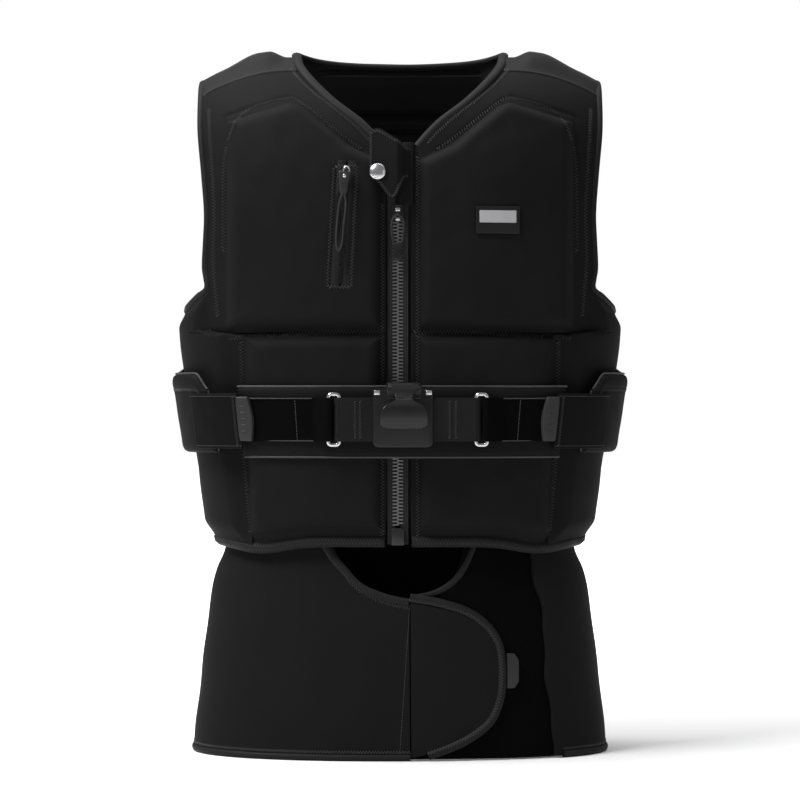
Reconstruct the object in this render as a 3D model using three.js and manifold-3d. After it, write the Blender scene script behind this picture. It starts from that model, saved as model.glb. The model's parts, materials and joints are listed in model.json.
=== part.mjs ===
// Impact vest with a built-in waist harness and a wrap-round kidney belt ("skirt").
// Millimetres. +Z is up, -Y is the front, and left and right are the wearer's, so the right side is -X.
// The part stands on the bottom hem of its skirt, and the origin is the middle of its box, on the floor.
import * as THREE from 'three';
import Module from 'manifold-3d';
import { mergeVertices } from 'three/addons/utils/BufferGeometryUtils.js';

const wasm = await Module();
wasm.setup();

// ---------------------------------------------------------------- driving dimensions
const TORSO_Y = 17; // the torso's middle plane is this far behind the origin
const ROUNDNESS = 2.4; // exponent of the superellipse that the torso's plan follows

// Side profile of the wearer's body, as [y, z]: up the front, over the shoulder and down the back.
const PROFILE = [
  [-112, 190], [-112, 260], [-112, 330], [-112, 394], [-112, 450], [-112, 505], [-106, 553],
  [-88, 597], [-58, 629], [-28, 645], [0, 650], [30, 652], [56, 649], [84, 632], [106, 590],
  [118, 520], [118, 450], [114, 394], [108, 330], [101, 260], [97, 190],
];
// Half widths as [z, half width] of the body under the vest, and under the skirt.
const VEST_WIDTH = [
  [190, 167], [215, 172], [250, 176], [300, 184], [340, 190], [380, 196], [417, 198], [507, 198],
  [560, 200], [610, 205], [650, 208],
];
const SKIRT_WIDTH = [
  [0, 189], [15, 188], [46, 184.5], [98, 179], [151, 172], [172, 167], [190, 159.5], [225, 154],
];
const SKIRT_FRONT = [[0, 116], [100, 110], [190, 98], [225, 96]];
const SKIRT_BACK = [[0, 118], [100, 108], [190, 84], [225, 80]];

// How far each layer lies outside the body.
const LINING = [-5, -3];
const FOAM_INNER = 2.4;
const SHELL_BASE = 4; // inner face of the outer neoprene where no foam lies under it
const SHELL_THICK = 3;
const FOAM_RISE = 10; // how much the foam lifts the outer neoprene
const LAYER_GAP = 1.6;
const SEAM_GAP = 0.8; // between two panels sewn edge to edge

// Heights.
const HEM_LOW = 196;
const HEM_HIGH = 206;
const WAIST_SEAM = 394; // between the chest and the belly panels
const NECK_LOW = 562; // bottom of the front neckline
const ARMPIT = 417;

// Sideways places.
const ZIP_X = -2; // middle of the main zip
const ZIP_EDGE_RIGHT = -13; // edges of the two fronts beside the zip
const ZIP_EDGE_LEFT = 10;
const SIDE_SEAM = 147; // between a belly panel and its side panel
const BINDING_R = 4;

// Belt.
const BELT_LOW = 283;
const BELT_HIGH = 356;
const PAD_LOW = 280;
const PAD_HIGH = 344;
const STRAP_MID = 314;
const STRAP_HIGH = 40; // width of the webbing
const PAD_LAYER = [17.6, 22.4];
const LOOP_LAYER = [23.1, 25.3];
const WING_LAYER = [26, 29];
const BAR_Y = TORSO_Y - 139.5; // plane of the metal loops
const WIRE = 4;
const EYE = 4.2; // radius of a strap's end where it goes round a wire
const RING_WIDE = 13.6;
const RING_HIGH = 50.4;
const RIGHT_RING_X = -60.5;
const LEFT_RING_X = 74.5;
const PLATE_X = 2.7;
const PLATE_WIDE = 54.4;
const PLATE_HIGH = 52.6;

// ---------------------------------------------------------------- small tools
const lerp = THREE.MathUtils.lerp;
const smooth = THREE.MathUtils.smoothstep;

// A smooth function through [at, value] stations, level beyond its ends.
function through(stations) {
  const slope = stations.map(([at, value], i) => {
    const [a0, v0] = stations[Math.max(0, i - 1)];
    const [a1, v1] = stations[Math.min(stations.length - 1, i + 1)];
    return (v1 - v0) / (a1 - a0);
  });
  return (at) => {
    if (at <= stations[0][0]) return stations[0][1];
    const i = stations.findIndex(([a]) => a >= at);
    if (i < 0) return stations.at(-1)[1];
    const [a0, v0] = stations[i - 1];
    const [a1, v1] = stations[i];
    const step = a1 - a0;
    const t = (at - a0) / step;
    const t2 = t * t;
    const t3 = t2 * t;
    return (2 * t3 - 3 * t2 + 1) * v0 + (t3 - 2 * t2 + t) * step * slope[i - 1]
      + (3 * t2 - 2 * t3) * v1 + (t3 - t2) * step * slope[i];
  };
}

// A unit box cut at the given shares of its sides, with each corner moved by map(u, v, w).
function bent(us, vs, map, ws = [0, 1]) {
  const geometry = new THREE.BoxGeometry(1, 1, 1, us.length - 1, vs.length - 1, ws.length - 1);
  const place = geometry.attributes.position;
  const at = (list, share) => list[Math.round((share + 0.5) * (list.length - 1))];
  for (let i = 0; i < place.count; i++) {
    const p = map(at(us, place.getX(i)), at(vs, place.getY(i)), at(ws, place.getZ(i)));
    place.setXYZ(i, p.x, p.y, p.z);
  }
  return facingOut(geometry);
}

// The geometry with its faces turned round if they point inwards.
function facingOut(geometry) {
  const g = geometry.index ? geometry.toNonIndexed() : geometry;
  const p = g.attributes.position;
  const [a, b, c] = [new THREE.Vector3(), new THREE.Vector3(), new THREE.Vector3()];
  let volume = 0;
  for (let i = 0; i < p.count; i += 3) {
    a.fromBufferAttribute(p, i);
    b.fromBufferAttribute(p, i + 1);
    c.fromBufferAttribute(p, i + 2);
    volume += a.dot(b.cross(c));
  }
  const made = new THREE.BufferGeometry().setAttribute('position', p.clone());
  if (volume < 0) {
    for (let i = 0; i < p.count; i += 3) {
      b.fromBufferAttribute(p, i + 1);
      c.fromBufferAttribute(p, i + 2);
      made.attributes.position.setXYZ(i + 1, c.x, c.y, c.z);
      made.attributes.position.setXYZ(i + 2, b.x, b.y, b.z);
    }
  }
  made.computeVertexNormals();
  return made;
}

function even(count) {
  return Array.from({ length: count + 1 }, (_, i) => i / count);
}

// A geometry as a manifold-3d solid, and back.
function solid(geometry) {
  const bare = new THREE.BufferGeometry().setAttribute('position', facingOut(geometry).attributes.position);
  const merged = mergeVertices(bare, 1e-3);
  return new wasm.Manifold(new wasm.Mesh({
    numProp: 3,
    vertProperties: merged.attributes.position.array,
    triVerts: new Uint32Array(merged.index.array),
  }));
}

function geometryOf(manifold) {
  const mesh = manifold.getMesh();
  const place = new Float32Array(mesh.numVert * 3);
  for (let i = 0; i < mesh.numVert; i++) {
    place.set(mesh.vertProperties.subarray(i * mesh.numProp, i * mesh.numProp + 3), i * 3);
  }
  const geometry = new THREE.BufferGeometry().setAttribute('position', new THREE.BufferAttribute(place, 3));
  geometry.setIndex(new THREE.BufferAttribute(mesh.triVerts, 1));
  geometry.computeVertexNormals();
  return geometry;
}

const joined = (...parts) => geometryOf(parts.map(solid).reduce((a, b) => a.add(b)));

function box(x0, x1, y0, y1, z0, z1) {
  return new THREE.BoxGeometry(x1 - x0, y1 - y0, z1 - z0)
    .translate((x0 + x1) / 2, (y0 + y1) / 2, (z0 + z1) / 2);
}

// A rounded rectangle in the XZ plane.
function roundedShape(wide, high, radius, steps = 4) {
  const shape = new THREE.Shape();
  const corners = [[1, 1, 0], [-1, 1, 90], [-1, -1, 180], [1, -1, 270]];
  for (const [sx, sz, start] of corners) {
    for (let i = 0; i <= steps; i++) {
      const a = THREE.MathUtils.degToRad(start + (90 * i) / steps);
      const x = sx * (wide / 2 - radius) + radius * Math.cos(a);
      const z = sz * (high / 2 - radius) + radius * Math.sin(a);
      if (shape.curves.length || shape.currentPoint.length()) shape.lineTo(x, z);
      else shape.moveTo(x, z);
    }
  }
  shape.closePath();
  return shape;
}

// A shape drawn in XZ and given a thickness from y to y + depth.
function standing(shape, y, depth, bevel = 0) {
  return new THREE.ExtrudeGeometry(shape, {
    depth: depth - 2 * bevel, bevelEnabled: bevel > 0, bevelThickness: bevel, bevelSize: bevel,
    bevelOffset: -bevel, bevelSegments: 1, curveSegments: 4,
  }).translate(0, 0, bevel).rotateX(Math.PI / 2).translate(0, y + depth, 0);
}

// A shape drawn in XY and drawn up from z to z + high.
function upright(shape, z, high) {
  return new THREE.ExtrudeGeometry(shape, { depth: high, bevelEnabled: false, curveSegments: 6 })
    .translate(0, 0, z);
}

// A round cord of the given radius along points.
function piped(points, radius, steps, sides) {
  const section = new THREE.Shape();
  for (let i = 0; i < sides; i++) {
    const a = (2 * Math.PI * i) / sides;
    if (i) section.lineTo(radius * Math.cos(a), radius * Math.sin(a));
    else section.moveTo(radius, 0);
  }
  section.closePath();
  const path = new THREE.CatmullRomCurve3(points, false, 'centripetal');
  return new THREE.ExtrudeGeometry(section, { steps, extrudePath: path, bevelEnabled: false });
}

// ---------------------------------------------------------------- the torso's surface
const profile = new THREE.CatmullRomCurve3(
  PROFILE.map(([y, z]) => new THREE.Vector3(0, y, z)), false, 'centripetal');
const vestWidth = through(VEST_WIDTH);
const skirtWidth = through(SKIRT_WIDTH);
const skirtFront = through(SKIRT_FRONT);
const skirtBack = through(SKIRT_BACK);
const APEX = PROFILE.findIndex(([y]) => y === 0) / (PROFILE.length - 1);

// Place along the profile where its height is z, on the front or the back.
function profileAt(z, back) {
  let low = back ? 1 : 0;
  let high = APEX;
  for (let i = 0; i < 40; i++) {
    const mid = (low + high) / 2;
    if (profile.getPoint(mid).z < z) low = mid;
    else high = mid;
  }
  return (low + high) / 2;
}
const frontAt = (z) => profileAt(z, false);
const backAt = (z) => profileAt(z, true);

// Place along the top of the profile where its depth is y.
function topAt(y) {
  let low = 0;
  let high = 1;
  for (let i = 0; i < 40; i++) {
    const mid = (low + high) / 2;
    if (profile.getPoint(mid).y < y) low = mid;
    else high = mid;
  }
  return low;
}

const shoulderDrop = (x) => 27 * Math.max(0, (Math.abs(x) - 105) / 90) ** 2;
const across = (share) => Math.max(0, 1 - Math.min(1, Math.abs(share)) ** ROUNDNESS) ** (1 / ROUNDNESS);

// The point at profile place p, sideways place x and distance out from the body.
function vestPoint(p, x, out) {
  const c = profile.getPoint(p);
  const t = profile.getTangent(p);
  const y = c.y - out * t.z;
  const z = c.z + out * t.y;
  return new THREE.Vector3(
    x, TORSO_Y + y * across(x / (vestWidth(c.z) + out)), z - shoulderDrop(x) * smooth(c.z, 470, 650));
}

// The point at height z and angle round the torso: 0 is the front, 90 the left side, 180 the back.
function ringPoint(width, front, back, z, degrees, out) {
  const a = THREE.MathUtils.degToRad(degrees);
  const s = Math.sin(a);
  const c = Math.cos(a);
  const power = 2 / ROUNDNESS;
  const depth = c > 0 ? front(z) : back(z);
  return new THREE.Vector3(
    Math.sign(s) * Math.abs(s) ** power * (width(z) + out),
    TORSO_Y - Math.sign(c) * Math.abs(c) ** power * (depth + out), z);
}
const frontDepth = (z) => -profile.getPoint(frontAt(z)).y;
const backDepth = (z) => profile.getPoint(backAt(z)).y;
const vestRing = (z, degrees, out) => ringPoint(vestWidth, frontDepth, backDepth, z, degrees, out);
const skirtRing = (z, degrees, out) => ringPoint(skirtWidth, skirtFront, skirtBack, z, degrees, out);

// The angle round the front at which a ring has the sideways place x.
function angleOf(width, z, x, out = 0) {
  const share = Math.min(1, Math.abs(x) / (width(z) + out));
  return Math.sign(x) * THREE.MathUtils.radToDeg(Math.asin(share ** (ROUNDNESS / 2)));
}

// ---------------------------------------------------------------- outlines
const armholeEdge = through([
  [394, 178], [425, 179], [450, 183], [507, 181], [552, 184], [600, 188], [645, 189],
]);
const backArmholeEdge = through([
  [394, 178], [425, 177], [450, 178], [507, 174], [552, 177], [600, 184], [645, 188],
]);
const neckSlope = through([
  [NECK_LOW, 12], [575, 23], [588, 36], [604, 57], [621, 76], [634, 88], [645, 95],
]);
const BIND_ROOM = BINDING_R + 0.6;
const neckEdge = (z, zipEdge) => (z < NECK_LOW ? Math.abs(zipEdge) : neckSlope(z) + BIND_ROOM);

// ---------------------------------------------------------------- materials
function plain(color, roughness, metalness = 0) {
  return new THREE.MeshStandardMaterial({ color, roughness, metalness });
}

const NEOPRENE = plain(0x1b1b1c, 0.75);
const LOOP_FABRIC = plain(0x0c0c0c, 0.95);
const FOAM = plain(0x3a3a3c, 0.9);
const LINING_CLOTH = plain(0x141415, 0.85);
const BINDING = plain(0x202021, 0.7);
const WEBBING = plain(0x161617, 0.8);
const RUBBER = plain(0x3c3c3e, 0.55);
const STEEL = plain(0xc8c9cc, 0.25, 1);
const COATED = plain(0x3a3a3b, 0.4, 0.6);
const PLASTIC = plain(0x222223, 0.5);

const vest = new THREE.Group();

function add(name, geometry, material) {
  const mesh = new THREE.Mesh(geometry, material);
  mesh.name = name;
  vest.add(mesh);
  return mesh;
}

// ---------------------------------------------------------------- panels
// A panel between two sideways edges and two places along the profile, from one distance out to another.
function panelLayer({ low, high, from, to }, us, vs, inner, outer) {
  return bent(us, vs, (u, v, w) => {
    const p = lerp(low, high, v);
    const { z } = profile.getPoint(p);
    return vestPoint(p, lerp(from(z), to(z), u), lerp(inner(u, v), outer(u, v), w));
  });
}

// Foam and outer neoprene of one panel. The neoprene stands up over the foam, which leaves out two
// grid lines at every edge.
function padded(foamName, shellName, field, us, vs) {
  const foamU = us.slice(2, -2);
  const foamV = vs.slice(2, -2);
  const near = (at, list) => at > list[0] - 1e-6 && at < list.at(-1) + 1e-6;
  const rise = (u, v) => (near(u, foamU) && near(v, foamV) ? FOAM_RISE : 0);
  add(foamName, panelLayer(field, foamU, foamV,
    () => FOAM_INNER, () => SHELL_BASE + FOAM_RISE - LAYER_GAP), FOAM);
  add(shellName, panelLayer(field, us, vs,
    (u, v) => SHELL_BASE + rise(u, v), (u, v) => SHELL_BASE + SHELL_THICK + rise(u, v)), NEOPRENE);
}

// Height of the armhole's edge under the arm, from its front to its back.
const underarm = (u) => ARMPIT + 14 * (2 * u - 1) ** 2;

// A padded panel made in one piece, lower along its edges.
function quilted(name, field, us, vs) {
  const inside = (at, list) => at > list[1] + 1e-6 && at < list.at(-2) - 1e-6;
  const rise = (u, v) => (inside(u, us) && inside(v, vs) ? FOAM_RISE : 0);
  add(name, panelLayer(field, us, vs,
    () => FOAM_INNER, (u, v) => SHELL_BASE + SHELL_THICK + rise(u, v)), NEOPRENE);
}

const SIDES = [['right', -1, ZIP_EDGE_RIGHT], ['left', 1, ZIP_EDGE_LEFT]];
const apexFront = topAt(-26);
const apexBack = topAt(52);
const seamGap = 0.0012; // half the gap of a seam across the torso, along the profile
const hemPlace = frontAt(HEM_HIGH + SEAM_GAP);
const waistPlace = frontAt(WAIST_SEAM);
const backHemPlace = backAt(HEM_HIGH + SEAM_GAP);
const backWaistPlace = backAt(WAIST_SEAM);

for (const [side, sign, zipEdge] of SIDES) {
  // u runs towards +X, so the right front starts at its armhole and the left front at the zip.
  const between = (zipSide, armSide) => (sign < 0
    ? { from: (z) => -armSide(z), to: (z) => -zipSide(z) }
    : { from: zipSide, to: armSide });
  const fromZip = (us) => (sign > 0 ? us : us.map((u) => 1 - u).reverse());
  const neckSide = (z) => neckEdge(z, zipEdge);
  const chestSide = (z) => armholeEdge(z) - BIND_ROOM;
  const liningSide = (z) => lerp(SIDE_SEAM - 4, armholeEdge(z) - 12, smooth(z, 330, 400));
  add(`${side}_front_lining`, panelLayer(
    { low: hemPlace, high: topAt(12), ...between(neckSide, liningSide) },
    even(5), even(12), () => LINING[0], () => LINING[1]), LINING_CLOTH);
  padded(`${side}_chest_foam`, `${side}_chest_shell`,
    { low: waistPlace + seamGap, high: apexFront - seamGap, ...between(neckSide, chestSide) },
    fromZip([0, 0.02, 0.05, 0.27, 0.5, 0.7, 0.86, 0.92, 1]),
    [0, 0.02, 0.05, 0.18, 0.31, 0.44, 0.56, 0.67, 0.78, 0.85, 1]);
  quilted(`${side}_belly_panel`,
    { low: hemPlace, high: waistPlace - seamGap, ...between(neckSide, () => SIDE_SEAM) },
    fromZip([0, 0.03, 0.06, 0.28, 0.52, 0.75, 0.94, 0.98, 1]),
    [0, 0.02, 0.06, 0.35, 0.65, 0.94, 0.98, 1]);
  quilted(`${side}_shoulder_yoke`,
    { low: apexFront + seamGap, high: apexBack - seamGap, ...between(neckSide, (z) => chestSide(z)) },
    fromZip([0, 0.06, 0.12, 0.38, 0.62, 0.84, 0.92, 1]),
    [0, 0.04, 0.1, 0.3, 0.5, 0.7, 0.9, 0.96, 1]);

  // Padded side panel under the arm, from the belly seam round to the back seam.
  const seamAngle = (z) => angleOf(vestWidth, z, SIDE_SEAM + 1.4);
  add(`${side}_side_panel`, bent(even(8), [0, 0.04, 0.1, 0.36, 0.62, 0.86, 0.93, 1], (u, v, w) => {
    const z = lerp(HEM_HIGH + SEAM_GAP, lerp(ARMPIT, underarm(u), smooth(v, 0.5, 1)) - BIND_ROOM - 1, v);
    const start = lerp(seamAngle(z), angleOf(vestWidth, z, 182), smooth(z, 385, 396));
    const end = lerp(180 - seamAngle(z), 180 - angleOf(vestWidth, z, 181), smooth(z, 385, 396));
    const thick = v < 0.03 || v > 0.97 ? 7 : lerp(14, 12, v);
    return vestRing(z, sign * lerp(start, end, u), thick * w);
  }), NEOPRENE);
}

// Back.
const backSide = (z) => backArmholeEdge(z) - BIND_ROOM;
const backLiningSide = (z) => lerp(SIDE_SEAM - 4, backArmholeEdge(z) - 12, smooth(z, 330, 400));
const backNeck = apexBack + 0.006;
add('back_lining', panelLayer(
  { low: backNeck, high: backHemPlace, from: (z) => -backLiningSide(z), to: backLiningSide },
  even(8), even(10), () => LINING[0], () => LINING[1]), LINING_CLOTH);
padded('back_upper_foam', 'back_upper_shell',
  { low: apexBack + seamGap, high: backWaistPlace - seamGap, from: (z) => -backSide(z), to: backSide },
  [0, 0.04, 0.08, 0.22, 0.36, 0.5, 0.64, 0.78, 0.92, 0.96, 1],
  [0, 0.05, 0.08, 0.2, 0.32, 0.45, 0.58, 0.75, 0.95, 0.98, 1]);
quilted('back_lower_panel',
  { low: backWaistPlace + seamGap, high: backHemPlace, from: () => -SIDE_SEAM, to: () => SIDE_SEAM },
  [0, 0.02, 0.06, 0.21, 0.35, 0.5, 0.65, 0.79, 0.94, 0.98, 1],
  [0, 0.02, 0.06, 0.35, 0.65, 0.94, 0.98, 1]);

// ---------------------------------------------------------------- edges and trim
// A strip on the torso between two profile places, for trim that is sewn over the neoprene.
function strip(low, high, x0, x1, out, us = even(2), vs = even(4)) {
  return bent(us, vs, (u, v, w) => vestPoint(lerp(low, high, v), lerp(x0, x1, u), lerp(...out, w)));
}

// Neck binding: from the bottom of the front neckline round the back of the neck and down again.
const neckPath = [];
for (const z of [566, 580, 596, 612, 628, 641]) {
  neckPath.push(vestPoint(frontAt(z), -neckSlope(z) + 2.4, 5));
}
for (const y of [-14, 10, 30]) {
  neckPath.push(vestPoint(topAt(y), -93.5, 6));
}
for (const [y, x] of [[42, -88], [46, -70], [46, -40], [46, -12]]) {
  neckPath.push(vestPoint(topAt(y), x, 5));
}
neckPath.push(...neckPath.toReversed().map((p) => new THREE.Vector3(-p.x, p.y, p.z)));
add('neck_binding', piped(neckPath, BINDING_R, 56, 6), BINDING);

// Armhole bindings, each a loop that is open by a stitch under the arm.
for (const [side, sign] of SIDES) {
  const path = [];
  for (const z of [446, 475, 507, 552, 600, 636]) {
    path.push(vestPoint(frontAt(z), sign * (armholeEdge(z) + 1), 6));
  }
  for (const y of [-20, 20, 52]) path.push(vestPoint(topAt(y), sign * 189, 7));
  for (const z of [612, 552, 507, 475, 446]) {
    path.push(vestPoint(backAt(z), sign * (backArmholeEdge(z) + 1.2), 6));
  }
  const front = angleOf(vestWidth, ARMPIT, 182);
  const back = 180 - angleOf(vestWidth, ARMPIT, 181);
  const under = (u) => vestRing(underarm(u), sign * lerp(front, back, u), 7);
  path.unshift(under(0.485), under(0.25), under(0.06));
  path.push(under(0.94), under(0.75), under(0.515));
  add(`${side}_armhole_binding`, piped(path, BINDING_R, 44, 6), BINDING);
}

// Hem binding of the vest, from one side of the zip round the back to the other.
const hemStart = angleOf(vestWidth, HEM_LOW, ZIP_EDGE_LEFT + 0.5);
const hemEnd = 360 + angleOf(vestWidth, HEM_LOW, ZIP_EDGE_RIGHT - 0.5);
add('vest_hem', bent(even(36), [0, 1], (u, v, w) => vestRing(
  lerp(HEM_LOW, HEM_HIGH - 0.4, v), lerp(hemStart, hemEnd, u), lerp(1.5, 9.5, w))), BINDING);

// Inside the back: a collar facing and a ridge of padding.
add('collar_facing', strip(topAt(72), topAt(92), -80, 80, [-10, -8], even(6), even(2)), BINDING);
add('inner_back_pad', strip(topAt(96), topAt(104), -52, 52, [-18, -8], even(4), even(2)), NEOPRENE);

// Label patch on the left chest.
add('chest_patch', strip(frontAt(485), frontAt(509), 70, 110, [17.7, 19], even(2), even(1)), RUBBER);

// ---------------------------------------------------------------- main zip
const zipFront = TORSO_Y - 112; // plane of the body behind the zip
const ZIP_TOP = 511;
const ZIP_LOW = 216;
for (const [side, sign] of SIDES) {
  add(`${side}_zip_tape`, box(
    Math.min(sign * 3.4, sign * 9.6) + ZIP_X, Math.max(sign * 3.4, sign * 9.6) + ZIP_X,
    zipFront - 3.4, zipFront - 2.2, 199, 520), BINDING);
}
add('zip_teeth', box(ZIP_X - 3, ZIP_X + 3, zipFront - 3.6, zipFront - 2, ZIP_LOW, ZIP_TOP - 12), PLASTIC);
add('zip_retainer', box(ZIP_X - 6, ZIP_X + 6, zipFront - 8, zipFront - 3.8, 198, 214), PLASTIC);
add('zip_slider', joined(
  box(ZIP_X - 5.5, ZIP_X + 5.5, zipFront - 6, zipFront - 4, ZIP_TOP - 14, ZIP_TOP),
  box(ZIP_X - 2, ZIP_X + 2, zipFront - 9, zipFront - 5.8, ZIP_TOP - 10, ZIP_TOP - 2)), PLASTIC);
const pullShape = roundedShape(7.5, 22, 3);
const pullHole = new THREE.Path();
pullHole.absarc(0, 6, 2.2, 0, 2 * Math.PI, true);
pullShape.holes.push(pullHole);
const zipCord = [[0, -8], [-5, -16], [-4.5, -30], [0, -36], [4.5, -30], [5, -16], [0.6, -8]]
  .map(([x, z]) => new THREE.Vector3(ZIP_X + x, zipFront - 11, 500 - 6 + z));
add('zip_pull', joined(
  standing(pullShape, zipFront - 12, 2).translate(ZIP_X, 0, 490),
  piped(zipCord, 1.2, 20, 6)), RUBBER);

// ---------------------------------------------------------------- pocket zip on the right chest
const pocketTop = vestPoint(frontAt(545), -48.6, 21);
const pocketLow = vestPoint(frontAt(438), -55.2, 19.6);
const pocketLine = pocketTop.clone().sub(pocketLow);
const pocketLength = pocketLine.length();
const pocketTurn = new THREE.Matrix4();
const pocketX = new THREE.Vector3().crossVectors(new THREE.Vector3(0, 1, 0), pocketLine).normalize();
const pocketY = new THREE.Vector3().crossVectors(pocketLine, pocketX).normalize();
pocketTurn.makeBasis(pocketX, pocketY, pocketLine.clone().normalize()).setPosition(pocketLow);
const onPocket = (geometry) => geometry.applyMatrix4(pocketTurn);
add('pocket_zip', onPocket(joined(
  box(-9, 9, -0.8, 0, -4, pocketLength + 4),
  box(-2.5, 2.5, -2.4, -0.4, 0, pocketLength - 3))), BINDING);
add('pocket_slider', onPocket(joined(
  box(-4, 4, -4.8, -2.8, pocketLength - 14, pocketLength - 3),
  box(-1.5, 1.5, -7, -4.6, pocketLength - 11, pocketLength - 5))), PLASTIC);
const gripShape = roundedShape(10, 19, 3.5);
const gripHole = new THREE.Path();
gripHole.absarc(0, 5, 2, 0, 2 * Math.PI, true);
gripShape.holes.push(gripHole);
const pocketCord = [[0, -7], [-4.5, -16], [-4, -56], [0, -64], [4, -56], [4.5, -16], [0.6, -7]]
  .map(([x, z]) => new THREE.Vector3(x, -9.5, z));
const pocketPullZ = pocketLength - 15;
add('pocket_pull', onPocket(joined(
  standing(gripShape, -11, 3).translate(0, 0, pocketPullZ),
  piped(pocketCord, 1.2, 24, 6).translate(0, 0, pocketPullZ))), RUBBER);

// ---------------------------------------------------------------- neck tab and its snap
const SNAP_Z = 537.5; // height of the snap along the profile
const tabTop = through([[-26, 568], [-10, 563], [8, 555]]);
const tabLow = through([[-26, 526], [-10, 513], [-4, 513], [8, 534]]);
add('neck_tab', bent(even(5), even(3), (u, v, w) => {
  const x = lerp(8.5, -28, u);
  const z = lerp(tabLow(x), tabTop(x), v);
  return vestPoint(frontAt(z), x, lerp(9, 21.5, smooth(u, 0, 0.45)) + 2.5 * w);
}), NEOPRENE);
const snapAt = vestPoint(frontAt(SNAP_Z), -20.5, 24.6);
const capProfile = [[0, 0], [7.7, 0], [7.7, 1], [6.4, 2.4], [0, 3]]
  .map(([r, h]) => new THREE.Vector2(r, h));
const onTab = (geometry, at) => geometry.rotateX(Math.PI - 0.14).translate(at.x, at.y, at.z);
add('snap_cap', onTab(new THREE.LatheGeometry(capProfile, 16), snapAt), STEEL);
const studProfile = [[0, 0], [5, 0], [5, 1], [2.4, 1.2], [2.4, 2.8], [0, 2.8]]
  .map(([r, h]) => new THREE.Vector2(r, h));
const studAt = vestPoint(frontAt(SNAP_Z), -21.5, 17.7);
add('snap_stud', onTab(new THREE.LatheGeometry(studProfile, 12), studAt), STEEL);

// ---------------------------------------------------------------- belt
const BACK_LAYER = [18, 27.2];
const WING_FRONT = 62; // angle of a wing's front edge
const WING_BACK = 112;
const beltAngle = (x, out) => angleOf(vestWidth, STRAP_MID, x, out);
const beltTop = (degrees) => BELT_HIGH + 16 * smooth(Math.abs(degrees), 60, 125);
add('belt_back', bent(even(14), [0, 0.08, 0.92, 1], (u, v, w) => {
  const degrees = lerp(WING_BACK + 0.6, 359.4 - WING_BACK, u);
  const folded = degrees > 180 ? 360 - degrees : degrees;
  const thick = (BACK_LAYER[1] - BACK_LAYER[0]) * (v === 0 || v === 1 ? 0.6 : 1);
  return vestRing(lerp(BELT_LOW - 3, beltTop(folded), v), degrees, BACK_LAYER[0] + w * thick);
}), NEOPRENE);
add('belt_front_pad', bent(even(14), even(1), (u, v, w) => {
  const degrees = lerp(-beltAngle(147, 20), beltAngle(151, 20), u);
  return vestRing(lerp(PAD_LOW, PAD_HIGH, v), degrees, lerp(...PAD_LAYER, w));
}), NEOPRENE);

for (const [side, sign] of SIDES) {
  // Padded wing at the side, with its top edge curled out into a flap.
  add(`${side}_wing`, bent(even(6), [0, 0.12, 0.78, 0.9, 1], (u, v, w) => {
    const degrees = lerp(WING_FRONT, WING_BACK, u);
    const curl = 5 * smooth(v, 0.7, 1);
    const inner = lerp(17.8, 18.4, u) + curl * (1 - u);
    const thick = lerp(6.6, 4, smooth(v, 0.8, 1));
    return vestRing(lerp(BELT_LOW, beltTop(degrees), v), sign * degrees, inner + w * thick);
  }), NEOPRENE);
  // The wing's hook-faced strap runs forward over the loop strap and ends in a rubber tab.
  const strapStart = WING_FRONT - 0.6;
  const strapEnd = beltAngle(side === 'right' ? 147 : 143, 27);
  add(`${side}_wing_strap`, bent(even(6), even(1), (u, v, w) => vestRing(
    lerp(284, 339, v), sign * lerp(strapEnd, strapStart, u), lerp(...WING_LAYER, w))), NEOPRENE);
  const tabEnd = beltAngle(side === 'right' ? 129 : 126, 27);
  add(`${side}_strap_tab`, bent(even(2), [0, 0.2, 0.8, 1], (u, v, w) => {
    const corner = (v === 0 || v === 1 ? 2 : 0);
    return vestRing(lerp(296, 334, v), sign * lerp(tabEnd + corner, strapEnd - 0.3, u),
      lerp(...WING_LAYER, w));
  }), RUBBER);
}

// A rectangle of round wire standing in the plane y.
function wireLoop(x, z, wide, high, wire, corner) {
  const outer = roundedShape(wide, high, corner);
  const hole = roundedShape(wide - 2 * wire, high - 2 * wire, Math.max(0.6, corner - wire), 3);
  outer.holes.push(new THREE.Path(hole.getPoints()));
  return standing(outer, BAR_Y - wire / 2, wire, wire * 0.2).translate(x, 0, z);
}

// A strap in plan: an eye round the upright wire at (x, BAR_Y), then a run of points to its far end.
function strapPlan(x, side, run, thick) {
  const eye = even(8).map((share) => {
    const a = Math.PI * (0.5 + share);
    return [x + side * EYE * Math.cos(a), BAR_Y + EYE * Math.sin(a)];
  });
  const front = run.map(([px, py]) => [px, py - thick / 2]);
  const back = run.map(([px, py]) => [px, py + thick / 2]).reverse();
  const outline = [...eye, ...front, ...back].map(([px, py]) => new THREE.Vector2(px, py));
  const shape = new THREE.Shape(outline);
  const hole = new THREE.Path();
  hole.absarc(x, BAR_Y, WIRE / 2 + 0.5, 0, 2 * Math.PI, false);
  shape.holes.push(hole);
  return upright(shape, STRAP_MID - STRAP_HIGH / 2, STRAP_HIGH);
}

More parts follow.
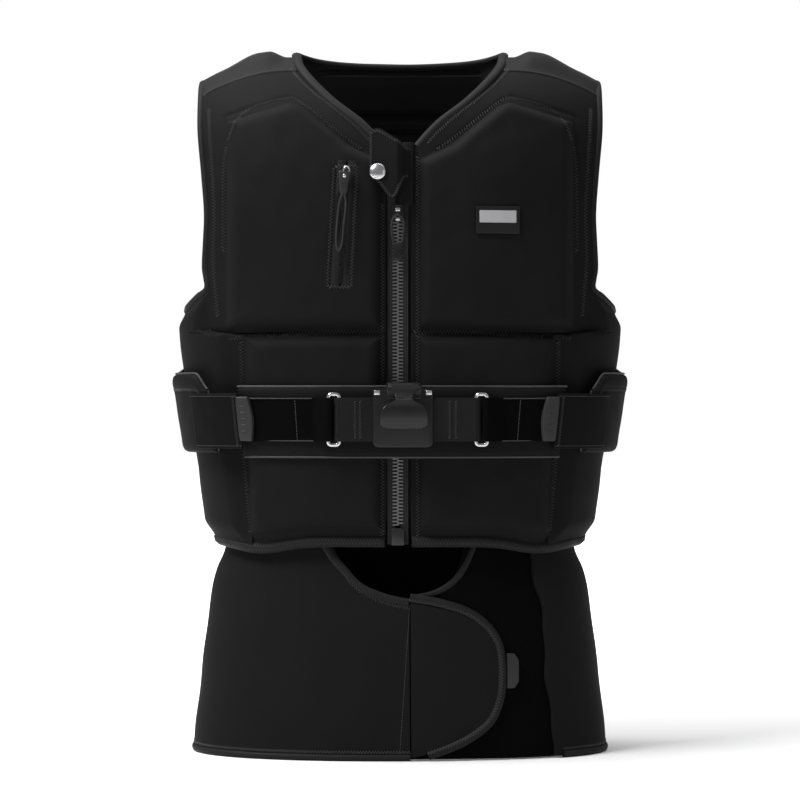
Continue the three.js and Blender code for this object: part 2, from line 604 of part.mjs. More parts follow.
const RINGS = [['right', -1, RIGHT_RING_X], ['left', 1, LEFT_RING_X]];
const frameEdge = { right: PLATE_X - 24, left: PLATE_X + 24 };
for (const [side, sign, ringX] of RINGS) {
  add(`${side}_ring`, wireLoop(ringX, STRAP_MID, RING_WIDE, RING_HIGH, WIRE, 5), STEEL);
  const outerWire = ringX + sign * (RING_WIDE / 2 - WIRE / 2);
  const innerWire = ringX - sign * (RING_WIDE / 2 - WIRE / 2);
  const loopMid = (LOOP_LAYER[0] + LOOP_LAYER[1]) / 2;
  const lapStart = beltAngle(Math.abs(outerWire) + 14, loopMid);
  const lapEnd = beltAngle(Math.abs(outerWire) + 100, loopMid);
  const near = vestRing(STRAP_MID, sign * (lapStart + 1), loopMid);
  add(`${side}_loop_strap`, joined(
    strapPlan(outerWire, sign, [[near.x, near.y]], 2.2),
    bent(even(7), [0, 1], (u, v, w) => vestRing(
      STRAP_MID + (v - 0.5) * STRAP_HIGH, sign * lerp(lapStart, lapEnd, u), lerp(...LOOP_LAYER, w))),
  ), LOOP_FABRIC);
  const run = [[innerWire - sign * 10, BAR_Y + 1], [frameEdge[side] + sign * 5.2, BAR_Y + 1]];
  add(`${side}_webbing`, strapPlan(innerWire, -sign, run, 3.4), WEBBING);
}

// Steel frame behind the spreader plate, the plate and its wide hook.
const PLATE_FRONT = BAR_Y - 6.6;
const HOOK_THICK = 4;
add('spreader_frame', wireLoop(PLATE_X, STRAP_MID + 1, 50, 52, WIRE, 5), STEEL);
add('spreader_plate', standing(roundedShape(PLATE_WIDE, PLATE_HIGH, 5), PLATE_FRONT, 4, 0.6)
  .translate(PLATE_X, 0, STRAP_MID + 1), COATED);
const hookLine = new THREE.CatmullRomCurve3([
  [0.4, 333], [0.4, 339], [2.5, 344.5], [7, 346], [11, 342.5], [13.4, 337], [16, 333.4], [20, 331],
  [23, 326], [23.5, 317], [21.5, 306],
].map(([forward, z]) => new THREE.Vector3(0, PLATE_FRONT - HOOK_THICK / 2 - forward, z)),
false, 'centripetal');
const hookHalfWidth = through([
  [0, 15], [0.26, 15.5], [0.35, 12], [0.44, 9], [0.52, 8], [0.59, 8.4], [0.65, 14], [0.7, 18.8], [0.77, 21],
  [0.86, 21.5], [0.95, 20.5], [1, 16],
]);
const hookSteps = [0, 0.1, 0.19, 0.27, 0.35, 0.44, 0.52, 0.59, 0.65, 0.7, 0.77, 0.86, 0.95, 1];
add('spreader_hook', bent([0, 0.5, 1], hookSteps, (u, v, w) => {
  const c = hookLine.getPointAt(v);
  const t = hookLine.getTangentAt(v);
  const out = (w - 0.5) * HOOK_THICK;
  return new THREE.Vector3(
    PLATE_X + 1 + (2 * u - 1) * hookHalfWidth(v), c.y - out * t.z, c.z + out * t.y);
}), COATED);

// ---------------------------------------------------------------- kidney belt
const SKIRT_TOP = 216;
const SKIRT_LOW = 8;
const OUTER_LAYER = [3.8, 7.6];
const SIDE_ANGLE = 95;
const FLAP_SEAM = 9;
const rightTop = through([
  [-78, SKIRT_TOP], [-66, 191], [-55, 178], [-38.5, 160], [-14, 149], [FLAP_SEAM, 144],
]);
const leftTop = through([[-8, 146], [9, 149], [32, 154], [50, 165], [62, 182], [76, SKIRT_TOP]]);
const flapTop = through([[FLAP_SEAM, 144], [36.7, 138], [62, 130], [77, 118], [85, 106], [87.5, 92]]);
const flapLow = through([
  [FLAP_SEAM, SKIRT_LOW], [22, 9], [46, 19.5], [62, 30], [77, 45], [84, 60], [87.5, 80],
]);
const skirtX = (degrees) => skirtRing(100, degrees, 4).x;
const skirtAngle = (x) => angleOf(skirtWidth, 100, x, 4);

function skirtPanel(from, to, low, high, layer, us, vs) {
  return bent(us, vs, (u, v, w) => {
    const degrees = lerp(from, to, u);
    const x = skirtX(degrees);
    return skirtRing(lerp(low(x), high(x), v), degrees, lerp(...layer, w));
  });
}

const level = (z) => () => z;
add('skirt_back', skirtPanel(SIDE_ANGLE + 0.4, 359.6 - SIDE_ANGLE, level(SKIRT_LOW), level(SKIRT_TOP),
  [1, 7.6], even(16), even(5)), NEOPRENE);
add('skirt_right_front', skirtPanel(-SIDE_ANGLE, skirtAngle(FLAP_SEAM), level(SKIRT_LOW), rightTop,
  OUTER_LAYER, [0, 0.1, 0.2, 0.3, 0.4, 0.48, 0.56, 0.64, 0.7, 0.78, 0.86, 0.93, 1], even(5)), NEOPRENE);
add('skirt_loop_panel', skirtPanel(skirtAngle(-8), 60, level(1), leftTop,
  [0, 3], even(12), even(5)), LOOP_FABRIC);
const leftEdge = through([[SKIRT_LOW, 141], [57, 137], [112, 133], [167, 124], [SKIRT_TOP, 118]]);
add('skirt_left_front', bent(even(6), even(5), (u, v, w) => {
  const z = lerp(SKIRT_LOW, SKIRT_TOP, v);
  const start = angleOf(skirtWidth, z, leftEdge(z), 4);
  return skirtRing(z, lerp(start, SIDE_ANGLE, u), lerp(...OUTER_LAYER, w));
}), NEOPRENE);
const HEM_LAYER = [3.6, 9.6];
add('skirt_hem', bent(even(32), [0, 1], (u, v, w) => {
  const degrees = lerp(skirtAngle(142), 360 + skirtAngle(FLAP_SEAM), u);
  return skirtRing(lerp(0, SKIRT_LOW - 0.6, v), degrees, lerp(...HEM_LAYER, w));
}), BINDING);

// The right front's free flap, its bound edge, and its rubber tab.
const FLAP_LAYER = [4.4, 8.2];
const flapGrid = [0, 0.15, 0.32, 0.5, 0.68, 0.84, 0.95, 1];
add('skirt_flap', skirtPanel(skirtAngle(FLAP_SEAM + 0.8), skirtAngle(87.5), flapLow, flapTop, FLAP_LAYER,
  flapGrid, even(4)), NEOPRENE);
const flapOutline = [
  [13, 149.5], [38, 144.3], [64, 135.4], [81.3, 122.2], [90.4, 108.4], [93.8, 92.5], [94.2, 73.5], [92.2, 56],
  [83.4, 36], [65.7, 21.6], [48.2, 13.1], [26, 5.2],
];
const flapEdge = flapOutline.map(([x, z]) => skirtRing(z, angleOf(skirtWidth, z, x, 8.2), 7.4));
add('skirt_flap_binding', piped(flapEdge, 4, 30, 6), BINDING);
add('skirt_flap_tab', bent(even(1), [0, 0.2, 0.8, 1], (u, v, w) => {
  const z = lerp(66, 98, v);
  const x = lerp(99, 109.5, u) - (u && (v === 0 || v === 1) ? 4 : 0);
  return skirtRing(z, angleOf(skirtWidth, z, x, 8), lerp(5, 9, w));
}), RUBBER);

export default vest;
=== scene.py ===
"""A padded vest with a waist harness and a kidney belt, finished for display.

Lengths in this script are millimetres until a mesh is placed. The front is towards -Y.
"""

import json
import math

import bmesh
import bpy
import numpy as np
from mathutils import Matrix, Vector
from mathutils.bvhtree import BVHTree

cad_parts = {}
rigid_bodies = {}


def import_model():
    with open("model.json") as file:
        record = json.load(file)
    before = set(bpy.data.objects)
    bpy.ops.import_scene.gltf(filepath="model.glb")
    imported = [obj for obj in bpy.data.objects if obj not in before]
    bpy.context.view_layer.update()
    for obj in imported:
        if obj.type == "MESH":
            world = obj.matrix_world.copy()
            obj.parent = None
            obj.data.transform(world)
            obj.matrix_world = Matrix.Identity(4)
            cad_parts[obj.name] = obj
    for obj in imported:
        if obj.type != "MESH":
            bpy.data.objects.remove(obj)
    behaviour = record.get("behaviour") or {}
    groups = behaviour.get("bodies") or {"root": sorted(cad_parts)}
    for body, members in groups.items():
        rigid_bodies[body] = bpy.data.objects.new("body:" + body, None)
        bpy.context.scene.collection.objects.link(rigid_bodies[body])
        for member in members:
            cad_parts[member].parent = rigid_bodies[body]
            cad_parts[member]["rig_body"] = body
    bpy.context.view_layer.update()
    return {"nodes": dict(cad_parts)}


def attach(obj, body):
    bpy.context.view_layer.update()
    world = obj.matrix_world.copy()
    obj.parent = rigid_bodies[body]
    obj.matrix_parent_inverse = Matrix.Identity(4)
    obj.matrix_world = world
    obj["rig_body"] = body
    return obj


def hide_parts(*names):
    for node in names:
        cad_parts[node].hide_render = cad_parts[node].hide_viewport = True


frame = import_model()

# ------------------------------------------------------------ the body under the vest
TORSO_Y = 17
ROUNDNESS = 2.4
PROFILE = [
    (-112, 190), (-112, 260), (-112, 330), (-112, 394), (-112, 450), (-112, 505), (-106, 553),
    (-88, 597), (-58, 629), (-28, 645), (0, 650), (30, 652), (56, 649), (84, 632), (106, 590),
    (118, 520), (118, 450), (114, 394), (108, 330), (101, 260), (97, 190),
]
VEST_WIDTH = [
    (190, 167), (215, 172), (250, 176), (300, 184), (340, 190), (380, 196), (417, 198), (507, 198),
    (560, 200), (610, 205), (650, 208),
]
SKIRT_WIDTH = [
    (0, 189), (15, 188), (46, 184.5), (98, 179), (151, 172), (172, 167), (190, 159.5), (225, 154),
]
SKIRT_FRONT = [(0, 116), (100, 110), (190, 98), (225, 96)]
SKIRT_BACK = [(0, 118), (100, 108), (190, 84), (225, 80)]

HEM_TOP = 206
WAIST_SEAM = 394
NECK_LOW = 562
ARMPIT = 417
STRAP_MID = 314
BAR_Y = TORSO_Y - 139.5
FOAM_RISE = 10
FACE = 6.5


def eased(t, start, end, leave, arrive):
    """The cubic from start to end that leaves and arrives at the given slopes."""
    return ((2 * t**3 - 3 * t**2 + 1) * start + (t**3 - 2 * t**2 + t) * leave
            + (3 * t**2 - 2 * t**3) * end + (t**3 - t**2) * arrive)


def through(stations):
    """A smooth function through (at, value) stations, level beyond its ends."""
    at = np.array([s[0] for s in stations], float)
    value = np.array([s[1] for s in stations], float)
    order = np.arange(len(at))
    low, high = np.maximum(order - 1, 0), np.minimum(order + 1, len(at) - 1)
    slope = (value[high] - value[low]) / (at[high] - at[low])
    fine, table = [], []
    for i in range(len(at) - 1):
        step = at[i + 1] - at[i]
        t = np.linspace(0, 1, 24)
        fine.append(at[i] + step * t)
        table.append(eased(t, value[i], value[i + 1], step * slope[i], step * slope[i + 1]))
    fine, table = np.concatenate(fine), np.concatenate(table)
    return lambda x: np.interp(x, fine, table)


def smooth(x, low, high):
    t = np.clip((np.asarray(x, float) - low) / (high - low), 0, 1)
    return t * t * (3 - 2 * t)


def lerp(a, b, t):
    return a + (b - a) * t


def smooth_line(points, per_span=24):
    """A centripetal Catmull-Rom line through points, with the same number of steps in each span."""
    p = [np.array(q, float) for q in points]
    p = [2 * p[0] - p[1], *p, 2 * p[-1] - p[-2]]
    line = []
    for a, b, c, d in zip(p, p[1:], p[2:], p[3:]):
        gaps = [max(np.linalg.norm(n - m) ** 0.5, 1e-4) for m, n in ((a, b), (b, c), (c, d))]
        start = ((b - a) / gaps[0] - (c - a) / (gaps[0] + gaps[1]) + (c - b) / gaps[1]) * gaps[1]
        end = ((c - b) / gaps[1] - (d - b) / (gaps[1] + gaps[2]) + (d - c) / gaps[2]) * gaps[1]
        line.extend(eased(i / per_span, b, c, start, end) for i in range(per_span))
    line.append(p[-2])
    return np.array(line)


SIDE = smooth_line(PROFILE)
SIDE_AT = np.linspace(0, 1, len(SIDE))
SIDE_RUN = np.gradient(SIDE, axis=0)
SIDE_RUN /= np.linalg.norm(SIDE_RUN, axis=1)[:, None]
TOP = int(np.argmax(SIDE[:, 1]))
vest_width = through(VEST_WIDTH)
skirt_width = through(SKIRT_WIDTH)
skirt_front = through(SKIRT_FRONT)
skirt_back = through(SKIRT_BACK)


def front_at(z):
    """The place along the side profile where its front has height z."""
    return np.interp(z, SIDE[:TOP, 1], SIDE_AT[:TOP])


def back_at(z):
    return np.interp(-np.asarray(z, float), -SIDE[TOP + 3:, 1], SIDE_AT[TOP + 3:])


def top_at(y):
    return np.interp(y, SIDE[80:420, 0], SIDE_AT[80:420])


def across(share):
    return np.maximum(0, 1 - np.minimum(1, np.abs(share)) ** ROUNDNESS) ** (1 / ROUNDNESS)


def shoulder_drop(x):
    return 27 * np.maximum(0, (np.abs(x) - 105) / 90) ** 2


def vest_point(p, x, out):
    """Points at profile places p, sideways places x and distances out from the body."""
    p, x, out = np.broadcast_arrays(*(np.asarray(n, float) for n in (p, x, out)))
    cy, cz = np.interp(p, SIDE_AT, SIDE[:, 0]), np.interp(p, SIDE_AT, SIDE[:, 1])
    ty, tz = np.interp(p, SIDE_AT, SIDE_RUN[:, 0]), np.interp(p, SIDE_AT, SIDE_RUN[:, 1])
    y = (cy - out * tz) * across(x / (vest_width(cz) + out)) + TORSO_Y
    z = cz + out * ty - shoulder_drop(x) * smooth(cz, 470, 650)
    return np.stack([x, y, z], -1)


def ring_point(width, front, back, z, degrees, out):
    """Points at heights z and angles round the torso: 0 is the front and 90 the left side."""
    z, degrees, out = np.broadcast_arrays(*(np.asarray(n, float) for n in (z, degrees, out)))
    s, c = np.sin(np.radians(degrees)), np.cos(np.radians(degrees))
    depth = np.where(c > 0, front(z), back(z))
    power = 2 / ROUNDNESS
    return np.stack([
        np.sign(s) * np.abs(s) ** power * (width(z) + out),
        TORSO_Y - np.sign(c) * np.abs(c) ** power * (depth + out), z], -1)


def front_depth(z):
    return -np.interp(front_at(z), SIDE_AT, SIDE[:, 0])


def back_depth(z):
    return np.interp(back_at(z), SIDE_AT, SIDE[:, 0])


def vest_ring(z, degrees, out):
    return ring_point(vest_width, front_depth, back_depth, z, degrees, out)


def skirt_ring(z, degrees, out):
    return ring_point(skirt_width, skirt_front, skirt_back, z, degrees, out)


def angle_of(width, z, x, out=0):
    """The angle round the front at which a ring reaches the sideways place x."""
    share = np.minimum(1, np.abs(x) / (width(z) + out))
    return np.sign(x) * np.degrees(np.arcsin(share ** (ROUNDNESS / 2)))


armhole_front = through([(394, 178), (425, 179), (450, 183), (507, 181), (552, 184), (600, 188), (645, 189)])
armhole_back = through([(394, 178), (425, 177), (450, 178), (507, 174), (552, 177), (600, 184), (645, 188)])
neck_slope = through([(NECK_LOW, 12), (575, 23), (588, 36), (604, 57), (621, 76), (634, 88), (645, 95)])


# ------------------------------------------------------------ making meshes
def lay(bm, place):
    """Moves every vertex (u, v, 0) of a flat grid, from 0 to 1 each way, to place(u, v)."""
    flat = np.array([v.co for v in bm.verts])
    for vert, point in zip(bm.verts, place(flat[:, 0] + 0.5, flat[:, 1] + 0.5)):
        vert.co = point * 0.001


def finished(name, bm, body, finish, stands_for=(), smooth_angle=40):
    """Turns a bmesh into a named piece that rides on a body."""
    mesh = bpy.data.meshes.new(name)
    bm.to_mesh(mesh)
    bm.free()
    piece = bpy.data.objects.new(name, mesh)
    bpy.context.collection.objects.link(piece)
    mesh.materials.append(finish)
    mesh.shade_smooth()
    if smooth_angle:
        mesh.set_sharp_from_angle(angle=math.radians(smooth_angle))
    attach(piece, body)
    if stands_for:
        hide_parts(*stands_for)
    return piece


def soft_edge(piece, width):
    edge = piece.modifiers.new("soft_edge", "BEVEL")
    edge.width = width * 0.001
    edge.segments = 2
    edge.limit_method = "ANGLE"
    edge.angle_limit = math.radians(50)


def cloth(name, cuts, place, thick, body, finish, stands_for=(), soften=0.8):
    """A sheet of cloth or neoprene laid over place(u, v), with its thickness on the inner side."""
    bm = bmesh.new()
    bmesh.ops.create_grid(bm, x_segments=cuts[0], y_segments=cuts[1], size=0.5)
    lay(bm, place)
    bm.normal_update()
    outward = 0
    for f in bm.faces:
        centre = f.calc_center_median()
        outward += f.normal.dot(centre - Vector((0, 0.001 * TORSO_Y, centre.z)))
    if outward < 0:
        bmesh.ops.reverse_faces(bm, faces=bm.faces)
    piece = finished(name, bm, body, finish, stands_for, None)
    wall = piece.modifiers.new("thickness", "SOLIDIFY")
    wall.thickness = thick * 0.001
    wall.offset = -1
    if soften:
        soft_edge(piece, soften)
    return piece


def run_along(line):
    """The distance of each point of a line from its start."""
    return np.concatenate([[0], np.cumsum(np.linalg.norm(np.diff(line, axis=0), axis=1))])


def between(at, run, values):
    """Values given at the places run, read off at the places at."""
    return np.stack([np.interp(at, run, values[:, k]) for k in range(3)], -1)


def tube_of(bm, line, wide, high, sides=10, up=(0, 0, 1), closed=False):
    """A grid rolled into a tube of oval section along a line; up gives each point's outward side."""
    line = np.array(line, float)
    up = np.broadcast_to(np.array(up, float), line.shape)
    if closed:
        line, up = np.vstack([line, line[:1]]), np.vstack([up, up[:1]])
    run = np.gradient(line, axis=0)
    if closed:
        run[0] = run[-1] = line[1] - line[-2]
    run /= np.linalg.norm(run, axis=1)[:, None]
    lift = up - (up * run).sum(1)[:, None] * run
    lift /= np.linalg.norm(lift, axis=1)[:, None] + 1e-9
    flat = np.cross(run, lift)
    grid = bmesh.ops.create_grid(bm, x_segments=len(line) - 1, y_segments=sides, size=0.5)["verts"]
    spot = np.array([v.co for v in grid])
    at, turn = (spot[:, 0] + 0.5) * (len(line) - 1), 2 * math.pi * spot[:, 1]
    line, flat, lift = (between(at, np.arange(len(line)), values) for values in (line, flat, lift))
    rolled = line + flat * (0.5 * wide * np.cos(turn))[:, None] + lift * (0.5 * high * np.sin(turn))[:, None]
    for vert, point in zip(grid, rolled):
        vert.co = point * 0.001


def closed_up(bm):
    """Joins the seams of rolled grids, caps their ends and turns every face outwards."""
    bmesh.ops.remove_doubles(bm, verts=bm.verts, dist=1e-7)
    ends = [e for e in bm.edges if e.is_boundary]
    bmesh.ops.holes_fill(bm, edges=ends, sides=0)
    bmesh.ops.recalc_face_normals(bm, faces=bm.faces)


def banded(name, line, wide, high, body, finish, stands_for=(), sides=10, up=(0, 0, 1), closed=False):
    bm = bmesh.new()
    tube_of(bm, line, wide, high, sides, up, closed)
    closed_up(bm)
    return finished(name, bm, body, finish, stands_for, smooth_angle=50)


def pad(name, cuts, outer, inner, body, finish, stands_for=(), fill=0.9, soften=1.2):
    """A closed padded piece between its outer face outer(u, v) and its inner face inner(u, v).

    A number as inner is the place of the inner face, passed to outer as its third value.
    """
    bm = bmesh.new()
    bmesh.ops.create_grid(bm, x_segments=cuts[0], y_segments=cuts[1], size=0.5)
    raised = bmesh.ops.extrude_face_region(bm, geom=bm.faces[:], use_keep_orig=True)["geom"]
    face = {g for g in raised if isinstance(g, bmesh.types.BMVert)}
    bm.verts.ensure_lookup_table()
    flat = np.array([v.co for v in bm.verts])
    u, v = flat[:, 0] + 0.5, flat[:, 1] + 0.5
    fronts = outer(u, v)
    backs = inner(u, v) if callable(inner) else outer(u, v, inner)
    for vert, front, behind in zip(bm.verts, fronts, backs):
        vert.co = (front if vert in face else behind) * 0.001
    bmesh.ops.recalc_face_normals(bm, faces=bm.faces)
    piece = finished(name, bm, body, finish, stands_for, smooth_angle=60)
    if soften:
        soft_edge(piece, soften)
    return piece


def softened(name, node, body, finish, edge=0.6, segments=2):
    """A CAD piece with its sharp edges rounded over."""
    bm = bmesh.new()
    bm.from_mesh(frame["nodes"][node].data)
    bmesh.ops.remove_doubles(bm, verts=bm.verts, dist=1e-5)
    bmesh.ops.dissolve_limit(bm, angle_limit=math.radians(2), verts=bm.verts, edges=bm.edges)
    sharp = [e for e in bm.edges if e.is_manifold and e.calc_face_angle() > math.radians(35)]
    bmesh.ops.bevel(bm, geom=sharp, offset=edge * 0.001, segments=segments, profile=0.5, affect="EDGES",
                    material=-1, clamp_overlap=True)
    return finished(name, bm, body, finish, [node], 35)


def evenly(line, step):
    """The line's points, laid out again at even steps."""
    line = np.array(line, float)
    run = run_along(line)
    count = max(2, int(round(run[-1] / step)) + 1)
    return between(np.linspace(0, run[-1], count), run, line)


THREADS = {}


def stitch(body, line, up, pitch=3.0, wide=3.6, thread=0.5, kind="zigzag"):
    """Adds a row of zigzag or running stitches along a line, on the surface whose outward side is up."""
    line = np.array(line, float)
    up = np.broadcast_to(np.array(up, float), line.shape)
    run = run_along(line)
    at = np.linspace(0, run[-1], max(3, int(run[-1] / (pitch / 2))))
    spot, lift = between(at, run, line), between(at, run, up)
    lift /= np.linalg.norm(lift, axis=1)[:, None]
    ahead = np.gradient(spot, axis=0)
    beside = np.cross(ahead, lift)
    beside /= np.linalg.norm(beside, axis=1)[:, None] + 1e-9
    if kind == "zigzag":
        swing = np.where(np.arange(len(at)) % 2 == 0, -0.5, 0.5)[:, None] * wide
        THREADS.setdefault(body, []).append((spot + beside * swing, lift, thread))
    else:
        ahead /= np.linalg.norm(ahead, axis=1)[:, None] + 1e-9
        for s, a, n in zip(spot[::2], ahead[::2], lift[::2]):
            half = a * pitch * 0.36
            dip = n * thread * 0.9
            run = np.array([s - half - dip, s - half * 0.6, s + half * 0.6, s + half - dip])
            THREADS.setdefault(body, []).append((run, np.array([n] * 4), thread))


def surface_of(body):
    """A search tree of every piece made so far that rides on a body."""
    points, faces, count = [], [], 0
    for piece in bpy.data.objects:
        if piece.get("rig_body") != body or piece.hide_render or piece.type != "MESH":
            continue
        points += [v.co for v in piece.data.vertices]
        faces += [[count + i for i in f.vertices] for f in piece.data.polygons]
        count = len(points)
    return BVHTree.FromPolygons(points, faces)


def settled(line, lift, tree, room=4.0):
    """The line's points dropped on to the surface below them."""
    spots = []
    for point, up in zip(line, lift):
        start = Vector((point + up * room) * 0.001)
        hit = tree.ray_cast(start, -Vector(up), 0.002 * room)[0]
        spots.append(point if hit is None else np.array(hit) * 1000)
    return np.array(spots)


def sew(body, finish):
    """Makes all of a body's stitches as one piece, lying on the pieces below them."""
    tree = surface_of(body)
    bm = bmesh.new()
    for line, lift, thread in THREADS[body]:
        tube_of(bm, settled(line, lift, tree) + lift * thread * 0.35, thread * 2, thread * 1.5, 4, lift)
    closed_up(bm)
    return finished(f"{body}_stitching", bm, body, finish, smooth_angle=None)


def near_line(points, x, z):
    """The distance of each point (x, z) from an open line."""
    near = np.full(np.shape(x), 1e9)
    for (ax, az), (bx, bz) in zip(points, points[1:]):
        dx, dz = bx - ax, bz - az
        t = np.clip(((x - ax) * dx + (z - az) * dz) / (dx * dx + dz * dz), 0, 1)
        near = np.minimum(near, np.hypot(x - ax - t * dx, z - az - t * dz))
    return near


def inside_by(outline, x, z):
    """How far each point (x, z) lies inside a closed outline; negative outside it."""
    x, z = np.asarray(x, float), np.asarray(z, float)
    near = near_line(outline + outline[:1], x, z)
    within = np.zeros(x.shape, bool)
    for (ax, az), (bx, bz) in zip(outline, outline[1:] + outline[:1]):
        crosses = ((az > z) != (bz > z)) & (x < (bx - ax) * (z - az) / (bz - az + 1e-12) + ax)
        within ^= crosses
    return np.where(within, near, -near)


def ripple(x, z, seed, size):
    """A gentle unevenness from -1 to 1, about size across."""
    total = np.zeros(np.shape(x))
    rng = np.random.default_rng(seed)
    for _ in range(7):
        a, f, o = rng.uniform(0, 2 * math.pi), rng.uniform(0.6, 1.5) / size, rng.uniform(0, 7)
        total += np.sin(2 * math.pi * f * (x * math.cos(a) + z * math.sin(a)) + o)
    return total / 4


# ------------------------------------------------------------ finishes
def node_group(name, inputs, *outputs):
    """A shader group whose sockets are all numbers; inputs give each one's usual value."""
    group = bpy.data.node_groups.new(name, "ShaderNodeTree")
    for label, value in inputs.items():
        socket = group.interface.new_socket(name=label, in_out="INPUT", socket_type="NodeSocketFloat")
        socket.default_value = value
    for label in outputs:
        group.interface.new_socket(name=label, in_out="OUTPUT", socket_type="NodeSocketFloat")
    return group, group.nodes.new("NodeGroupInput"), group.nodes.new("NodeGroupOutput")


def add_node(tree, kind, links=(), **values):
    """A node with its plain sockets set by name or number, and its inputs linked."""
    node = tree.nodes.new(kind)
    for key, value in values.items():
        if hasattr(node, key):
            setattr(node, key, value)
        else:
            node.inputs[key.replace("_", " ")].default_value = value
    for target, source in links:
        tree.links.new(source, node.inputs[target])
    return node


def math_node(tree, operation, first, second=0.5, third=None):
    node = tree.nodes.new("ShaderNodeMath")
    node.operation = operation
    for k, value in enumerate((first, second, third)):
        if value is None:
            continue
        if isinstance(value, (int, float)):
            node.inputs[k].default_value = value
        else:
            tree.links.new(value, node.inputs[k])
    return node.outputs[0]


def mixed(tree, share, first, second):
    """The colour between first and second; each is a colour or an output that gives one."""
    node = tree.nodes.new("ShaderNodeMix")
    node.data_type = "RGBA"
    for socket, value in ((node.inputs[0], share), (node.inputs[6], first), (node.inputs[7], second)):
        if isinstance(value, bpy.types.NodeSocket):
            tree.links.new(value, socket)
        else:
            socket.default_value = value
    return node.outputs[2]


def knit_group():
    """Fine knitted face of neoprene: a small grain, a slow unevenness and specks of lint."""
    group, given, out = node_group("knit_face", {"Grain": 1400.0, "Patch": 14.0}, "Height", "Tone", "Lint")
    where = group.nodes.new("ShaderNodeTexCoord").outputs["Object"]
    grain = add_node(group, "ShaderNodeTexVoronoi", [("Vector", where), ("Scale", given.outputs["Grain"])])
    fine = add_node(group, "ShaderNodeTexNoise", [("Vector", where)], Scale=520.0, Detail=3.0)
    slow = add_node(group, "ShaderNodeTexNoise", [("Vector", where), ("Scale", given.outputs["Patch"])],
                    Detail=4.0, Roughness=0.55)
    lint = add_node(group, "ShaderNodeTexNoise", [("Vector", where)], Scale=2100.0, Detail=1.0)
    height = math_node(group, "MULTIPLY_ADD", fine.outputs["Fac"], 0.5, grain.outputs["Distance"])
    specks = math_node(group, "GREATER_THAN", lint.outputs["Fac"], 0.73)
    group.links.new(height, out.inputs["Height"])
    group.links.new(slow.outputs["Fac"], out.inputs["Tone"])
    group.links.new(specks, out.inputs["Lint"])
    return group


def weave_group():
    """Woven webbing: crossing threads along the piece's height and width."""
    group, given, out = node_group("weave", {"Count": 420.0}, "Height", "Tone")
    where = group.nodes.new("ShaderNodeTexCoord").outputs["Object"]
    count = given.outputs["Count"]
    spread = add_node(group, "ShaderNodeVectorMath", [(0, where), (1, count)], operation="MULTIPLY")
    parts = add_node(group, "ShaderNodeSeparateXYZ", [(0, spread.outputs[0])])
    warp = math_node(group, "SINE", math_node(group, "MULTIPLY", parts.outputs["Z"], 6.2832))
    weft = math_node(group, "SINE", math_node(group, "MULTIPLY", parts.outputs["X"], 6.2832))
    height = math_node(group, "MULTIPLY_ADD", math_node(group, "MULTIPLY", warp, weft), 0.5, 0.5)
    slow = add_node(group, "ShaderNodeTexNoise", [("Vector", where)], Scale=60.0, Detail=4.0)
    group.links.new(height, out.inputs["Height"])
    group.links.new(slow.outputs["Fac"], out.inputs["Tone"])
    return group


def scuff_group():
    """Handling marks for moulded and metal pieces: faint scratches and a cloudy wear mask."""
    group, given, out = node_group("scuffs", {"Amount": 0.5}, "Height", "Wear")
    where = group.nodes.new("ShaderNodeTexCoord").outputs["Object"]
    stretch = add_node(group, "ShaderNodeMapping", [("Vector", where)])
    stretch.inputs["Scale"].default_value = (900, 900, 60)
    stretch.inputs["Rotation"].default_value = (0.3, 0.5, 0.2)
    scratch = add_node(group, "ShaderNodeTexNoise", [("Vector", stretch.outputs[0])], Scale=1.0, Detail=5.0)
    cloud = add_node(group, "ShaderNodeTexNoise", [("Vector", where)], Scale=90.0, Detail=5.0, Roughness=0.6)
    wear = math_node(group, "MULTIPLY", cloud.outputs["Fac"], given.outputs["Amount"])
    group.links.new(scratch.outputs["Fac"], out.inputs["Height"])
    group.links.new(wear, out.inputs["Wear"])
    return group


KNIT, WEAVE, SCUFFS = knit_group(), weave_group(), scuff_group()


def shade(value):
    """A neutral colour, a touch cool, as bright as value."""
    return (value, value, value * 1.03, 1)


def finish(name, slot, group, dark, light, rough, grain, depth, sheen=0.0, metallic=0.0, gloss=0.5,
           settings=()):
    """A material whose colour, roughness and relief come from a shared group; the slot argument is not used.
    """
    material = bpy.data.materials.new(name)
    material.use_nodes = True
    tree = material.node_tree
    shader = tree.nodes["Principled BSDF"]
    face = tree.nodes.new("ShaderNodeGroup")
    face.node_tree = group
    for label, value in settings:
        face.inputs[label].default_value = value
    tone = face.outputs["Wear" if group is SCUFFS else "Tone"]
    last = mixed(tree, tone, shade(dark), shade(light))
    if group is KNIT:
        last = mixed(tree, face.outputs["Lint"], last, shade(light * 2.2))
    tree.links.new(last, shader.inputs["Base Color"])
    tree.links.new(math_node(tree, "MULTIPLY_ADD", tone, 0.18, rough - 0.09), shader.inputs["Roughness"])
    shader.inputs["Metallic"].default_value = metallic
    shader.inputs["Sheen Weight"].default_value = sheen
    shader.inputs["Sheen Roughness"].default_value = 0.45
    shader.inputs["Specular IOR Level"].default_value = gloss
    bump = add_node(tree, "ShaderNodeBump", [("Height", face.outputs["Height"])],
                    Strength=grain, Distance=depth)
    tree.links.new(bump.outputs[0], shader.inputs["Normal"])
    return material


